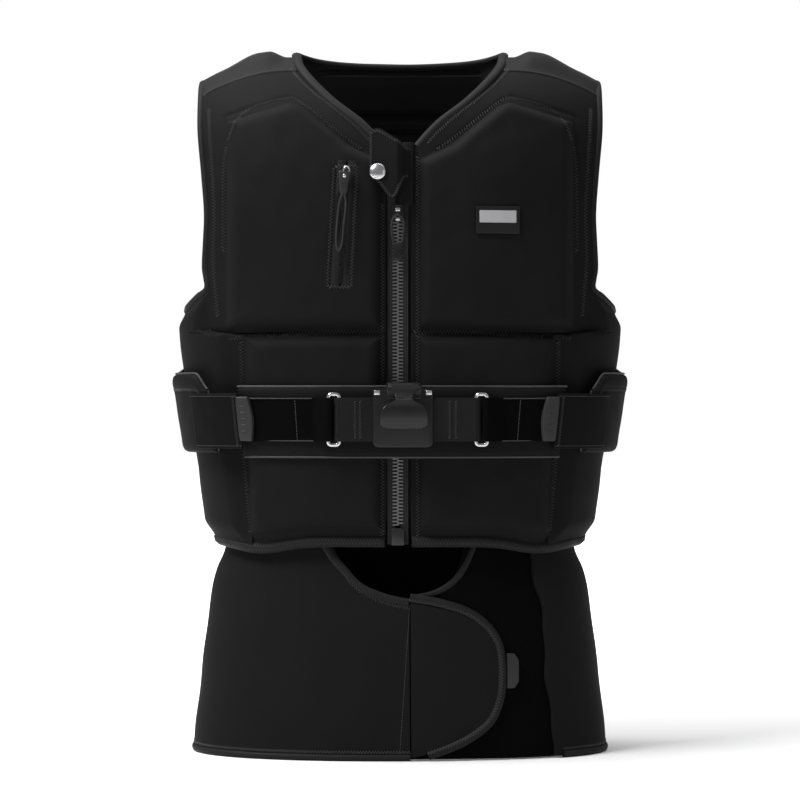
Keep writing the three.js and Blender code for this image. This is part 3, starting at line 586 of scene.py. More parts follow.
NEOPRENE = finish("neoprene", "neoprene", KNIT, 0.0052, 0.0084, 0.68, 0.5, 0.00012, sheen=0.006, gloss=0.05)
# A lighter copy of the neoprene for the shoulder yokes: painted light for the overhead light that falls on
# the shoulders' tops.
YOKE_PAINTED_LIGHTER = finish("yoke_neoprene_painted_lighter", "neoprene", KNIT, 0.0085, 0.013, 0.62, 0.5, 0.00012, sheen=0.012, gloss=0.08)
SKIN = finish("smooth_skin", "loop_fabric", KNIT, 0.0026, 0.0042, 0.6, 0.35, 0.00008, sheen=0.004, gloss=0.06)
LOOP = finish("loop_velvet", "loop_fabric", KNIT, 0.0018, 0.0030, 0.95, 0.9, 0.0003, sheen=0.002, gloss=0.02,
              settings=[("Grain", 900.0)])
LINING = finish("lining", "lining", KNIT, 0.010, 0.016, 0.8, 0.5, 0.0001, sheen=0.01, gloss=0.08)
BINDING = finish("elastic_binding", "binding", WEAVE, 0.008, 0.013, 0.6, 0.5, 0.00015, sheen=0.01, gloss=0.10,
                 settings=[("Count", 650.0)])
WEBBING = finish("webbing", "webbing", WEAVE, 0.005, 0.009, 0.62, 0.8, 0.0003, sheen=0.01, gloss=0.10,
                 settings=[("Count", 420.0)])
THREAD = finish("thread", "neoprene", WEAVE, 0.034, 0.052, 0.5, 0.3, 0.0001, gloss=0.20,
                settings=[("Count", 900.0)])
TAPE = finish("zip_tape", "binding", WEAVE, 0.012, 0.020, 0.7, 0.6, 0.00012, gloss=0.12,
              settings=[("Count", 700.0)])
CORD = finish("pull_cord", "binding", WEAVE, 0.014, 0.026, 0.6, 0.6, 0.0002, gloss=0.2,
              settings=[("Count", 800.0)])
PALE_PIPING = finish("pale_piping", "binding", SCUFFS, 0.035, 0.06, 0.5, 0.2, 0.0001, gloss=0.2)
PALE_PRINT = finish("pale_print", "rubber", SCUFFS, 0.30, 0.38, 0.55, 0.1, 0.00005, gloss=0.2)
RUBBER = finish("moulded_rubber", "rubber", SCUFFS, 0.016, 0.028, 0.5, 0.25, 0.00008, gloss=0.25)
DARK_RUBBER = finish("dark_rubber", "rubber", SCUFFS, 0.006, 0.011, 0.42, 0.25, 0.00008, gloss=0.25)
PLASTIC = finish("acetal", "plastic", SCUFFS, 0.009, 0.018, 0.35, 0.2, 0.00005, gloss=0.35)
STEEL = finish("polished_steel", "steel", SCUFFS, 0.55, 0.68, 0.28, 0.05, 0.00003, metallic=1.0)
COATED = finish("coated_steel", "coated_steel", SCUFFS, 0.010, 0.019, 0.36, 0.15, 0.00004, metallic=0.5)
TEETH = finish("zip_teeth_metal", "plastic", SCUFFS, 0.16, 0.26, 0.35, 0.1, 0.00003, metallic=0.8)


# ------------------------------------------------------------ room, light and camera
def soft_light(name, place, aim, size, watts):
    data = bpy.data.lights.new(name, "AREA")
    data.shape = "RECTANGLE"
    data.size, data.size_y = size
    data.energy = watts
    lamp = bpy.data.objects.new(name, data)
    bpy.context.collection.objects.link(lamp)
    lamp.location = place
    lamp.rotation_euler = (Vector(aim) - Vector(place)).to_track_quat("-Z", "Y").to_euler()
    return lamp


def seen_white(tree, strength):
    """A share that is 1 where the camera looks straight at something, times strength."""
    looked_at = tree.nodes.new("ShaderNodeLightPath").outputs["Is Camera Ray"]
    return math_node(tree, "MULTIPLY", looked_at, strength)


def room():
    """A white floor that catches the shadow near the object and fades into the white air."""
    bm = bmesh.new()
    bmesh.ops.create_grid(bm, x_segments=1, y_segments=1, size=14)
    mesh = bpy.data.meshes.new("studio_floor")
    bm.to_mesh(mesh)
    bm.free()
    floor = bpy.data.objects.new("studio_floor", mesh)
    bpy.context.collection.objects.link(floor)
    white = bpy.data.materials.new("studio_white")
    white.use_nodes = True
    tree = white.node_tree
    shader = tree.nodes["Principled BSDF"]
    shader.inputs["Base Color"].default_value = (0.9, 0.9, 0.9, 1)
    shader.inputs["Roughness"].default_value = 0.9
    shader.inputs["Emission Color"].default_value = (1, 1, 1, 1)
    where = tree.nodes.new("ShaderNodeTexCoord").outputs["Object"]
    away = add_node(tree, "ShaderNodeVectorMath", [(0, where)], operation="LENGTH")
    fade = add_node(tree, "ShaderNodeMapRange", [(0, away.outputs["Value"])], interpolation_type="SMOOTHSTEP")
    fade.inputs["From Min"].default_value = 0.5
    fade.inputs["From Max"].default_value = 1.6
    tree.links.new(math_node(tree, "MULTIPLY", fade.outputs[0], seen_white(tree, 1.1)),
                   shader.inputs["Emission Strength"])
    mesh.materials.append(white)


AIR_STRENGTH = 0.26


def studio():
    room()
    world = bpy.data.worlds.new("studio_air")
    bpy.context.scene.world = world
    world.use_nodes = True
    air = world.node_tree
    sky = air.nodes["Background"]
    sky.inputs["Color"].default_value = (1, 1, 1, 1)
    air.links.new(math_node(air, "MAXIMUM", seen_white(air, 1.0), AIR_STRENGTH), sky.inputs["Strength"])
    soft_light("key_upper_left", (-1.6, -1.3, 2.8), (0, 0, 0.35), (1.2, 1.2), 105)
    soft_light("top_left", (-1.3, 0.1, 2.4), (0, 0, 0.4), (1.2, 1.2), 30)
    soft_light("low_right", (2.2, -1.8, 0.9), (0, 0, 0.3), (1.2, 1.6), 4)
    soft_light("high_back", (0, 1.2, 4.0), (0, 3.6, 0.6), (5, 2), 180)
    camera = bpy.data.objects.new("camera", bpy.data.cameras.new("camera"))
    bpy.context.collection.objects.link(camera)
    camera.data.sensor_width = 36
    camera.data.lens = 151.6
    camera.location = (0, -3.2, 0.332)
    camera.rotation_euler = (math.radians(90), 0, 0)
    bpy.context.scene.camera = camera
    bpy.context.scene.view_settings.view_transform = "Standard"


studio()

# ------------------------------------------------------------ the two fronts
ZIP_X = -2
YOKE_FRONT = top_at(-48)
YOKE_BACK = top_at(52)
ZIP_SIDE = {"right": 13, "left": 10}
CHEST_PAD = [(17.5, 398), (17.5, 552), (32, 559), (49, 567), (92, 603), (101, 607), (161, 590), (161, 398)]
BELLY_PAD = [(17, 212), (17, 391), (144, 391), (140, 214)]
PANEL_BACK = -0.5
CHEST_ROW = [(35, 563), (49, 572.5), (94, 611), (104, 615), (164, 597), (164.5, 470)]


def face_normal(p, x, out):
    up = vest_point(p, x, np.asarray(out) + 1) - vest_point(p, x, out)
    return up / np.linalg.norm(up, axis=-1)[..., None]


def front_spot(points, height):
    """Places and outward sides on the front's face for points given as seen from the front."""
    line = np.array(points, float)
    x, z = line[:, 0], line[:, 1]
    guess = z.copy()
    for _ in range(6):
        out = height(x, z)
        guess += z - vest_point(front_at(guess), x, out)[:, 2]
    return vest_point(front_at(guess), x, out), face_normal(front_at(guess), x, out)


def fine(points, step=1.0):
    """A broken line (x, z) with points added at every step."""
    line = []
    for (ax, az), (bx, bz) in zip(points, points[1:]):
        count = max(1, int(math.hypot(bx - ax, bz - az) / step))
        line += [(lerp(ax, bx, i / count), lerp(az, bz, i / count)) for i in range(count)]
    return np.array(line + [points[-1]], float)


def rounded(points, times=3):
    """A broken line with its corners cut round, ends kept."""
    line = [np.array(p, float) for p in points]
    for _ in range(times):
        cut = [line[0]]
        for a, b in zip(line, line[1:]):
            cut += [a * 0.75 + b * 0.25, a * 0.25 + b * 0.75]
        line = cut + [line[-1]]
    return [tuple(p) for p in line]


def puffed(inward, room):
    """The rounded rise of stitched-down foam, from 0 at its outline to 1 a little way in."""
    t = np.clip((inward + 2) / room, 0, 1)
    return smooth(t, 0, 0.35) * (1 - (1 - t) ** 2.4)


def front_height(side, x, z):
    """How far the front's face stands out from the body at (x, z), for the side with x positive."""
    x = np.abs(x)
    chest = FOAM_RISE * puffed(inside_by(CHEST_PAD, x, z), 15)
    belly = FOAM_RISE * puffed(inside_by(BELLY_PAD, x, z), 16)
    seed = 3 if side == "right" else 8
    slow = 0.9 * ripple(x, z, seed, 95) + 0.35 * ripple(x, z, seed + 1, 34)
    pad = np.maximum(chest, belly)
    out = FACE + pad + slow * smooth(pad, 0, FOAM_RISE)
    out -= 1.6 * np.exp(-((z - WAIST_SEAM) / 2.4) ** 2)
    out -= 0.9 * np.exp(-(near_line(CHEST_ROW, x, z) / 1.7) ** 2)
    out -= 0.7 * np.exp(-((x - 16.3) / 1.6) ** 2)
    if side == "right":
        slot = inside_by([(40.5, 545.5), (59, 544.5), (65, 436.5), (46.5, 437)], x, z)
        out -= 0.8 * np.exp(-(slot / 1.6) ** 2)
        out -= 2.2 * np.exp(-(near_line([(49, 541), (55.4, 441)], x, z) / 3.2) ** 2)
    return out


def side_seam(z):
    return lerp(138.5, 147, smooth(z, 206, 320))


def yoke_height(x, y):
    """How far the shoulder stands out: padded across its top and lower towards the armhole."""
    rise = (1 - 0.68 * smooth(x, 134, 172)) * smooth(y, -47, -20) * (1 - smooth(y, 26, 50))
    rise *= 0.25 + 0.75 * smooth(x, 108, 126)
    crest = 1.1 * np.exp(-((y + 16) / 1.8) ** 2)
    return FACE + 0.5 + 9 * rise - crest + 0.5 * ripple(x, y, 5, 40)


def hem_dip(x, height):
    """How far the vest's lower edge hangs down on each side of the front, fading out by 45 above it."""
    return -7 * np.exp(-((np.abs(x) - 130) / 32) ** 2) * (1 - smooth(height, 0, 45))


def dipped(x, z):
    fall = hem_dip(x, z - HEM_TOP)
    return np.stack([np.zeros_like(fall), np.zeros_like(fall), fall], -1)


def front_panels():
    for side, sign in (("right", -1), ("left", 1)):
        zip_side = ZIP_SIDE[side]

        def tall(x, z):
            return front_height(side, x, z)

        def neck(z):
            return np.where(z < NECK_LOW, zip_side, np.maximum(zip_side, neck_slope(z) + 0.5))

        def chest(u, v, depth=None):
            p = lerp(front_at(WAIST_SEAM), YOKE_FRONT, v)
            z = np.interp(p, SIDE_AT, SIDE[:, 1])
            x = sign * lerp(neck(z), armhole_front(z) - 0.5, u)
            seen = vest_point(p, x, 6)
            return vest_point(p, x, front_height(side, x, seen[..., 2]) if depth is None else depth)

        def belly(u, v, depth=None):
            z = lerp(HEM_TOP - 3, WAIST_SEAM, v)
            x = sign * lerp(zip_side, side_seam(z), u)
            drawn_in = -2.5 * (1 - smooth(z, HEM_TOP, HEM_TOP + 9))
            out = front_height(side, x, z) + drawn_in if depth is None else depth
            return vest_point(front_at(z), x, out) + dipped(x, z)

        pad(f"{side}_chest", (92, 150), chest, PANEL_BACK, "vest", NEOPRENE,
            [f"{side}_chest_shell", f"{side}_chest_foam"])
        pad(f"{side}_belly", (74, 104), belly, PANEL_BACK, "vest", NEOPRENE, [f"{side}_belly_panel"])

        def shoulder(u, v, depth=None):
            p = lerp(YOKE_FRONT, YOKE_BACK, v)
            x = lerp(95, 188.5, u)
            y = np.interp(p, SIDE_AT, SIDE[:, 0])
            return vest_point(p, sign * x, yoke_height(x, y) if depth is None else depth)

        # The yokes take the lighter copy of the neoprene, painted light on the shoulders' tops.
        pad(f"{side}_yoke", (64, 74), shoulder, PANEL_BACK, "vest", YOKE_PAINTED_LIGHTER, [f"{side}_shoulder_yoke"])

        def lining(u, v):
            p = lerp(front_at(HEM_TOP), top_at(20), v)
            z = np.interp(p, SIDE_AT, SIDE[:, 1])
            outer = lerp(side_seam(z), armhole_front(z), smooth(z, 380, 440)) - 2
            return vest_point(p, sign * lerp(neck(z) + 1, outer, u), -2.5)

        inside = cloth(f"{side}_front_lining_cloth", (24, 60), lining, 2, "vest", LINING,
                       [f"{side}_front_lining"])

        # Rows of zigzag stitches on the front.
        def row(points, wide=3.4, pitch=3.0):
            line, up = front_spot([(sign * x, z) for x, z in fine(rounded(points))], tall)
            stitch("vest", line, up, pitch, wide)

        row(CHEST_ROW)
        row([(16.3, 207), (16.3, 300), (16.3, 400), (16.3, 556 if side == "left" else 512)])
        row([(zip_side + 3, WAIST_SEAM), (60, WAIST_SEAM + 1),
             (110, WAIST_SEAM - 2), (172, WAIST_SEAM - 5)], 4.2)
        row([(side_seam(212), 210), (side_seam(300), 300), (147, 386)], 4.0)
        row([(armhole_front(z) - 8.5, z) for z in (410, 430, 460, 507, 550, 585, 606)])
        edge = [(neck_slope(z) + 10.5, z - shoulder_drop(neck_slope(z)) * 0.3 + 3)
                for z in (566, 580, 596, 612, 626, 640)]
        row(edge, 2.8, 2.6)
        seam = np.linspace(98, 186, 80)
        here = vest_point(YOKE_FRONT, sign * seam, FACE + 0.6)
        stitch("vest", here, face_normal(YOKE_FRONT, sign * seam, FACE), 3.0, 3.8)
        crest = top_at(-16)
        pad_seam = np.linspace(116, 172, 60)
        high = yoke_height(pad_seam, np.full(60, -16.0))
        here = vest_point(crest, sign * pad_seam, high)
        stitch("vest", here, face_normal(crest, sign * pad_seam, high), 2.8, 3.0)
    stitched_pocket = [(39.5, 547), (60.5, 546), (66.5, 435.5), (45, 435.5), (39.5, 547)]
    line, up = front_spot([(-x, z) for x, z in fine(stitched_pocket)],
                          lambda x, z: front_height("right", x, z))
    stitch("vest", line, up, 3.0, 2.6)


front_panels()


# ------------------------------------------------------------ sides and back
def underarm(u):
    return ARMPIT + 22 * (2 * u - 1) ** 2


def side_and_back():
    for side, sign in (("right", -1), ("left", 1)):
        def panel(u, v, depth=None):
            top = lerp(ARMPIT, underarm(u), smooth(v, 0.5, 1)) - 1
            z = lerp(HEM_TOP - 3, top, v)
            above = smooth(z, WAIST_SEAM - 1, WAIST_SEAM + 2)
            start = angle_of(vest_width, z, lerp(side_seam(z), 178, above) - 1, FACE)
            end = 180 - angle_of(vest_width, z, lerp(side_seam(z), 177, above) - 1, FACE)
            edge = np.minimum(np.minimum(u, 1 - u) * 150, np.minimum(v, 1 - v) * 200)
            out = FACE + 7 * smooth(edge, 0, 16) + 0.8 * ripple(u * 150, v * 200, 12, 60)
            place = vest_ring(z, sign * lerp(start, end, u), out if depth is None else depth)
            return place + dipped(place[:, 0], z) * (place[:, 1:2] < TORSO_Y)

        pad(f"{side}_side", (90, 100), panel, PANEL_BACK, "vest", NEOPRENE, [f"{side}_side_panel"])

    def upper(u, v, depth=None):
        p = lerp(YOKE_BACK, back_at(WAIST_SEAM), v)
        z = np.interp(p, SIDE_AT, SIDE[:, 1])
        x = lerp(-1, 1, u) * (armhole_back(z) - 0.5)
        edge = np.minimum(armhole_back(z) - 14 - np.abs(x), np.minimum((v - 0.05) * 260, (1 - v) * 260))
        spine = 1.5 * np.exp(-((np.abs(x) - 1) / 3) ** 2) * smooth(v, 0.1, 0.2)
        out = FACE + FOAM_RISE * puffed(edge, 16) - spine + 0.8 * ripple(x, z, 21, 90)
        return vest_point(p, x, out if depth is None else depth)

    def lower(u, v, depth=None):
        z = lerp(HEM_TOP - 3, WAIST_SEAM, v)
        x = lerp(-1, 1, u) * side_seam(z)
        edge = np.minimum(side_seam(z) - 8 - np.abs(x), np.minimum(z - HEM_TOP - 6, WAIST_SEAM - 4 - z))
        out = FACE + FOAM_RISE * puffed(edge, 16) + 0.7 * ripple(x, z, 22, 70)
        return vest_point(back_at(z), x, out if depth is None else depth)

    pad("upper_back", (150, 120), upper, PANEL_BACK, "vest", NEOPRENE,
        ["back_upper_shell", "back_upper_foam"])
    pad("lower_back", (120, 84), lower, PANEL_BACK, "vest", NEOPRENE, ["back_lower_panel"])

    def lining(u, v):
        p = lerp(YOKE_BACK + 0.004, back_at(HEM_TOP), v)
        z = np.interp(p, SIDE_AT, SIDE[:, 1])
        half = lerp(side_seam(z), armhole_back(z), smooth(z, 380, 440)) - 2
        seam = 0.8 * np.exp(-((z - 622) / 2) ** 2)
        return vest_point(p, lerp(-1, 1, u) * half, -2.5 + seam)

    inside = cloth("back_lining_cloth", (60, 110), lining, 2, "vest", LINING, ["back_lining"])

    def back_row(p, x, wide):
        stitch("vest", vest_point(p, x, FACE + 0.2), face_normal(p, x, FACE), 3.0, wide)

    back_row(back_at(WAIST_SEAM), np.linspace(-170, 170, 200), 4.0)
    for sign in (-1, 1):
        z = np.linspace(400, 610, 120)
        back_row(back_at(z), sign * (armhole_back(z) - 8.5), 3.4)
        z = np.linspace(212, 386, 90)
        back_row(back_at(z), sign * side_seam(z), 3.8)

    # Collar facing inside the back, its seam, and the padded ridge under it.
    rim_y = through([(0, 51), (40, 51), (64, 50), (82, 47), (93, 38), (98, 26)])
    rim_out = through([(0, 3), (40, 4), (64, 5.5), (82, 7.5), (93, 9), (98, 9.5)])

    def facing(u, v):
        x = lerp(-98, 98, u)
        p = lerp(top_at(rim_y(np.abs(x))), top_at(93), v)
        bulge = 1.6 * smooth(np.minimum(v, 1 - v), 0, 0.2)
        return vest_point(p, x, lerp(rim_out(np.abs(x)), -5.2, smooth(v, 0, 0.3)) - bulge)

    band = cloth("collar_band", (70, 24), facing, 1.5, "vest", LINING, ["collar_facing"])
    x = np.linspace(-88, 88, 160)
    inward = -face_normal(top_at(92), x, -8)
    stitch("vest", vest_point(top_at(92), x, -8.6), inward, 3.2, 3.4)

    def ridge(u, v, depth=None):
        p = lerp(top_at(96), top_at(104), v)
        hump = 7 * smooth(np.minimum(u, 1 - u) * 110, 0, 9) * smooth(np.minimum(v, 1 - v), 0, 0.35)
        return vest_point(p, lerp(-54, 54, u), -8 - hump if depth is None else depth)

    pad("padded_ridge", (60, 20), ridge, -6.5, "vest", NEOPRENE, ["inner_back_pad"], soften=0.5)


side_and_back()


# ------------------------------------------------------------ bindings
def bindings():
    half = [(vest_point(front_at(z), -neck_slope(z) - 2.6, 4.2 + 3 * smooth(z, 600, 641)),
             face_normal(front_at(z), -neck_slope(z) - 2.6, 4))
            for z in (564, 572, 580, 588, 596, 604, 612, 621, 630, 641)]
    half += [(vest_point(top_at(y), x, out), face_normal(top_at(y), x, 4))
             for y, x, out in ((-22, -97, 8), (-8, -98.5, 10), (8, -99, 10.5), (24, -98, 10.5), (38, -93, 10),
                               (47, -82, 8.5), (50, -64, 6.5), (51, -40, 5), (51, -14, 4))]
    flip = np.array([-1, 1, 1])
    places = [h[0] for h in half] + [h[0] * flip for h in half[::-1]]
    sides = [h[1] for h in half] + [h[1] * flip for h in half[::-1]]
    line, up = smooth_line(places, 6), smooth_line(sides, 6)
    banded("neck_edge", line, 9, 6.4, "vest", BINDING, ["neck_binding"], 12, up)
    for side, sign in (("right", -1), ("left", 1)):
        front, back = angle_of(vest_width, ARMPIT, 178, FACE), 180 - angle_of(vest_width, ARMPIT, 177, FACE)
        places, sides = [], []

        def keep(point, normal):
            places.append(point)
            sides.append(normal)

        def under(u):
            degrees = sign * lerp(front, back, u)
            here = vest_ring(underarm(u), degrees, FACE - 1)
            away = vest_ring(underarm(u), degrees, FACE) - here
            return here, away / np.linalg.norm(away)

        for u in (0.5, 0.3, 0.14, 0.03):
            keep(*under(u))
        for z in (456, 480, 507, 552, 600, 636):
            x = sign * (armhole_front(z) - 1)
            keep(vest_point(front_at(z), x, FACE - 1), face_normal(front_at(z), x, 4))
        for y in (-20, 20, 48):
            keep(vest_point(top_at(y), sign * 188, FACE), face_normal(top_at(y), sign * 188, 5))
        for z in (612, 552, 507, 480, 456):
            x = sign * (armhole_back(z) - 1)
            keep(vest_point(back_at(z), x, FACE - 1), face_normal(back_at(z), x, 4))
        for u in (0.97, 0.86, 0.7, 0.505):
            keep(*under(u))
        banded(f"{side}_armhole_edge", smooth_line(places, 8), 7, 6, "vest", BINDING,
               [f"{side}_armhole_binding"], 12, smooth_line(sides, 8))

    # Vest hem: a stitched band that dips a little at the front.
    start = angle_of(vest_width, 200, ZIP_SIDE["left"] + 0.5)
    end = 360 - angle_of(vest_width, 200, ZIP_SIDE["right"] + 0.5)

    def hem(u, v):
        degrees = lerp(start, end, u)
        swell = np.sin(math.pi * np.clip(v, 0.04, 0.96)) ** 0.6
        out = 2.5 + 4.5 * swell + 0.6 * ripple(u * 1100, v * 10, 31, 60)
        place = vest_ring(lerp(HEM_TOP - 10, HEM_TOP + 1, v), degrees, out)
        return place + dipped(place[:, 0], place[:, 2]) * (place[:, 1:2] < TORSO_Y)

    band = cloth("hem_band", (300, 10), hem, 2.5, "vest", BINDING, ["vest_hem"])
    degrees = np.linspace(start + 1, end - 1, 700)
    here = vest_ring(HEM_TOP - 4.5, degrees, 7.4)
    away = vest_ring(HEM_TOP - 4.5, degrees, 8.4) - here
    here = here + dipped(here[:, 0], here[:, 2]) * (here[:, 1:2] < TORSO_Y)
    stitch("vest", here, away, 3.0, 4.6)


bindings()


# ------------------------------------------------------------ main zip
ZIP_PLANE = TORSO_Y - 112
ZIP_TOP = 511
ZIP_LOW = 216
CRISP = 0.3


def block(bm, low, high):
    """A box between two corners, in millimetres; returns its vertices."""
    made = bmesh.ops.create_cube(bm, size=1)["verts"]
    middle = (Vector(low) + Vector(high)) / 2
    bmesh.ops.scale(bm, verts=made, vec=Vector(high) - Vector(low))
    bmesh.ops.translate(bm, verts=made, vec=middle)
    bmesh.ops.scale(bm, verts=made, vec=(0.001, 0.001, 0.001))
    return made


def edges_of(verts):
    return list({e for v in verts for e in v.link_edges})


def round_over(bm, verts, width, segments=2):
    bmesh.ops.bevel(bm, geom=edges_of(verts), offset=width * 0.001, segments=segments, profile=0.5,
                    affect="EDGES", material=-1, clamp_overlap=True)


def tooth_row(bm, low, high, depth, pitch=2.9, wide=3.4, lean=1.35):
    """Interlocking teeth up the z axis, alternately set to each side, with their fronts at -depth."""
    count = int((high - low) / (pitch / 2))
    for i in range(count):
        z = low + (i + 0.5) * pitch / 2
        x = lean if i % 2 else -lean
        verts = block(bm, (x - wide / 2, -depth, z - pitch * 0.24),
                      (x + wide / 2, -depth + 1.5, z + pitch * 0.24))
        inner = [v for v in verts if (v.co.x > 0.001 * x) != (i % 2 == 1)]
        bmesh.ops.translate(bm, verts=inner, vec=(0, 0, 0.0003))
        round_over(bm, verts, CRISP, 1)


def main_zip():
    for side, sign in (("right", -1), ("left", 1)):
        def tape(u, v, depth=2.9):
            edge = 0.35 * np.exp(-((1 - u) / 0.12) ** 2)
            x = ZIP_X + sign * lerp(2.6, 9.8, u)
            return np.stack([x, ZIP_PLANE - depth + edge, lerp(199, 520, v)], -1)

        pad(f"{side}_zip_cloth", (6, 60), tape, 2.2, "vest", TAPE,
            [f"{side}_zip_tape"], fill=None, soften=0.2)
        z = np.linspace(204, 512, 100)
        line = np.stack([np.full(100, ZIP_X + sign * 9.2), np.full(100, ZIP_PLANE - 3.0), z], -1)
        stitch("vest", line, (0, -1, 0), 2.6, 0.5, 0.25, "running")
    bm = bmesh.new()
    tooth_row(bm, ZIP_LOW, ZIP_TOP - 12, 3.6, 3.2, 6.0, 2.0)
    bmesh.ops.translate(bm, verts=bm.verts, vec=(ZIP_X * 0.001, ZIP_PLANE * 0.001, 0))
    finished("zip_chain", bm, "vest", TEETH, ["zip_teeth"], smooth_angle=30)
    softened("zip_box", "zip_retainer", "vest", PLASTIC, 1.2, 3)
    softened("zip_runner", "zip_slider", "zip_slider", COATED, 1.0, 3)
    bm = bmesh.new()
    grip = block(bm, (ZIP_X - 4.4, ZIP_PLANE - 13.0, 460), (ZIP_X + 4.4, ZIP_PLANE - 9.4, 476))
    round_over(bm, grip, 1.5, 4)
    for z in (463.5, 466.5, 469.5):
        rib = block(bm, (ZIP_X - 3.0, ZIP_PLANE - 13.5, z), (ZIP_X + 3.0, ZIP_PLANE - 12.7, z + 1.2))
        round_over(bm, rib, 0.3, 1)
    finished("zip_grip", bm, "zip_pull", DARK_RUBBER, ["zip_pull"], smooth_angle=35)
    loop = [(0, 503), (-4.8, 498), (-5.6, 488), (-4.0, 478), (-1.6, 473),
            (1.6, 473), (4.0, 478), (5.6, 488), (4.8, 498), (0, 503)]
    line = smooth_line([(ZIP_X + x, ZIP_PLANE - 11 - 0.012 * (503 - z), z) for x, z in loop], 10)
    banded("zip_loop", line[:-1], 2.1, 2.1, "zip_pull", CORD, (), 8, (0, -1, 0), True)
    # Bright bridge of the slider, in two short bars.
    bm = bmesh.new()
    for z in (498.5, 507):
        bar = block(bm, (ZIP_X - 2.2, ZIP_PLANE - 9.6, z - 1.6), (ZIP_X + 2.2, ZIP_PLANE - 6.2, z + 1.6))
        round_over(bm, bar, 0.6, 2)
    finished("zip_bridge", bm, "zip_slider", STEEL, smooth_angle=35)


main_zip()


# ------------------------------------------------------------ pocket zip on the right chest
POCKET_TOP = vest_point(front_at(545), -48.6, 21)
POCKET_LOW = vest_point(front_at(438), -55.2, 19.6)


def on_pocket(bm):
    """Moves a mesh drawn along the z axis, front to -y, on to the pocket's line."""
    line = Vector(POCKET_TOP - POCKET_LOW)
    across_it = Vector((0, 1, 0)).cross(line).normalized()
    inward = line.cross(across_it).normalized()
    turn = Matrix((across_it, inward, line.normalized())).transposed().to_4x4()
    turn.translation = Vector(POCKET_LOW) * 0.001
    bmesh.ops.transform(bm, matrix=turn, verts=bm.verts)
    bmesh.ops.recalc_face_normals(bm, faces=bm.faces)
    return line.length


def pocket():
    length = (Vector(POCKET_TOP) - Vector(POCKET_LOW)).length
    bm = bmesh.new()
    round_over(bm, block(bm, (-8.6, 2.6, -3), (-1.2, 4.8, length + 3)), 0.7)
    round_over(bm, block(bm, (1.2, 2.9, -3), (8.6, 3.9, length + 3)), 0.4)
    on_pocket(bm)
    finished("pocket_tape", bm, "vest", BINDING, ["pocket_zip"], smooth_angle=40)
    bm = bmesh.new()
    tooth_row(bm, 1, length - 12, -1.8, 2.2, 2.6, 1.0)
    on_pocket(bm)
    finished("pocket_chain", bm, "vest", DARK_RUBBER, ["pocket_zip"], smooth_angle=30)
    softened("pocket_runner", "pocket_slider", "pocket_slider", COATED, 0.8, 2)
    top = length - 15
    bm = bmesh.new()
    grip = block(bm, (-5.6, -11.2, top - 14), (5.6, -8.4, top + 7))
    for vert in grip:
        if vert.co.z < (top - 5) * 0.001:
            vert.co.x *= 0.55
    bmesh.ops.translate(bm, verts=grip, vec=(-0.0015, 0, 0))
    round_over(bm, grip, 1.1, 3)
    for z in (-10, -7, -4):
        round_over(bm, block(bm, (-4.6, -11.7, top + z), (1.6, -10.9, top + z + 1.2)), 0.25, 1)
    on_pocket(bm)
    finished("pocket_grip", bm, "pocket_pull", RUBBER, ["pocket_pull"], smooth_angle=35)
    bm = bmesh.new()
    link = smooth_line([
        (0, -9.6, top + 3), (-2.6, -10.2, top + 6), (-2.2, -10.4, top + 10), (0, -10.4, top + 11.5),
        (2.2, -10.4, top + 10), (2.6, -10.2, top + 6), (0, -9.6, top + 3)], 6)
    tube_of(bm, link[:-1], 1.5, 1.5, 8, (0, -1, 0), True)
    closed_up(bm)
    rivet = bmesh.ops.create_uvsphere(bm, u_segments=20, v_segments=10, radius=0.0017)["verts"]
    bmesh.ops.scale(bm, verts=rivet, vec=(1, 0.5, 1))
    bmesh.ops.translate(bm, verts=rivet, vec=(-0.0015, -0.0112, (top + 2.5) * 0.001))
    on_pocket(bm)
    finished("pocket_link", bm, "pocket_pull", STEEL, smooth_angle=50)
    loop = [(-1.5, -12), (-4.2, -20), (-5.6, -42), (-4.8, -62), (-2.6, -66),
            (-0.6, -62), (0.6, -42), (1.0, -20), (-1.5, -12)]
    bm = bmesh.new()
    strands = smooth_line([(x, -9.8 + 0.03 * (z + 12), top + z) for x, z in loop], 10)
    tube_of(bm, strands[:-1], 2.0, 2.0, 8, (0, -1, 0), True)
    closed_up(bm)
    on_pocket(bm)
    finished("pocket_loop", bm, "pocket_pull", CORD, smooth_angle=50)


pocket()


# ------------------------------------------------------------ neck tab, snap and chest patch
TAB_TOP = through([(-28, 571), (-20, 573.5), (-6, 566.5), (4, 562), (8, 559.5)])
TAB_LOW = through([(-29, 536.5), (-17, 525), (-6.6, 513.5), (-0.7, 524), (3.8, 534), (8, 535)])


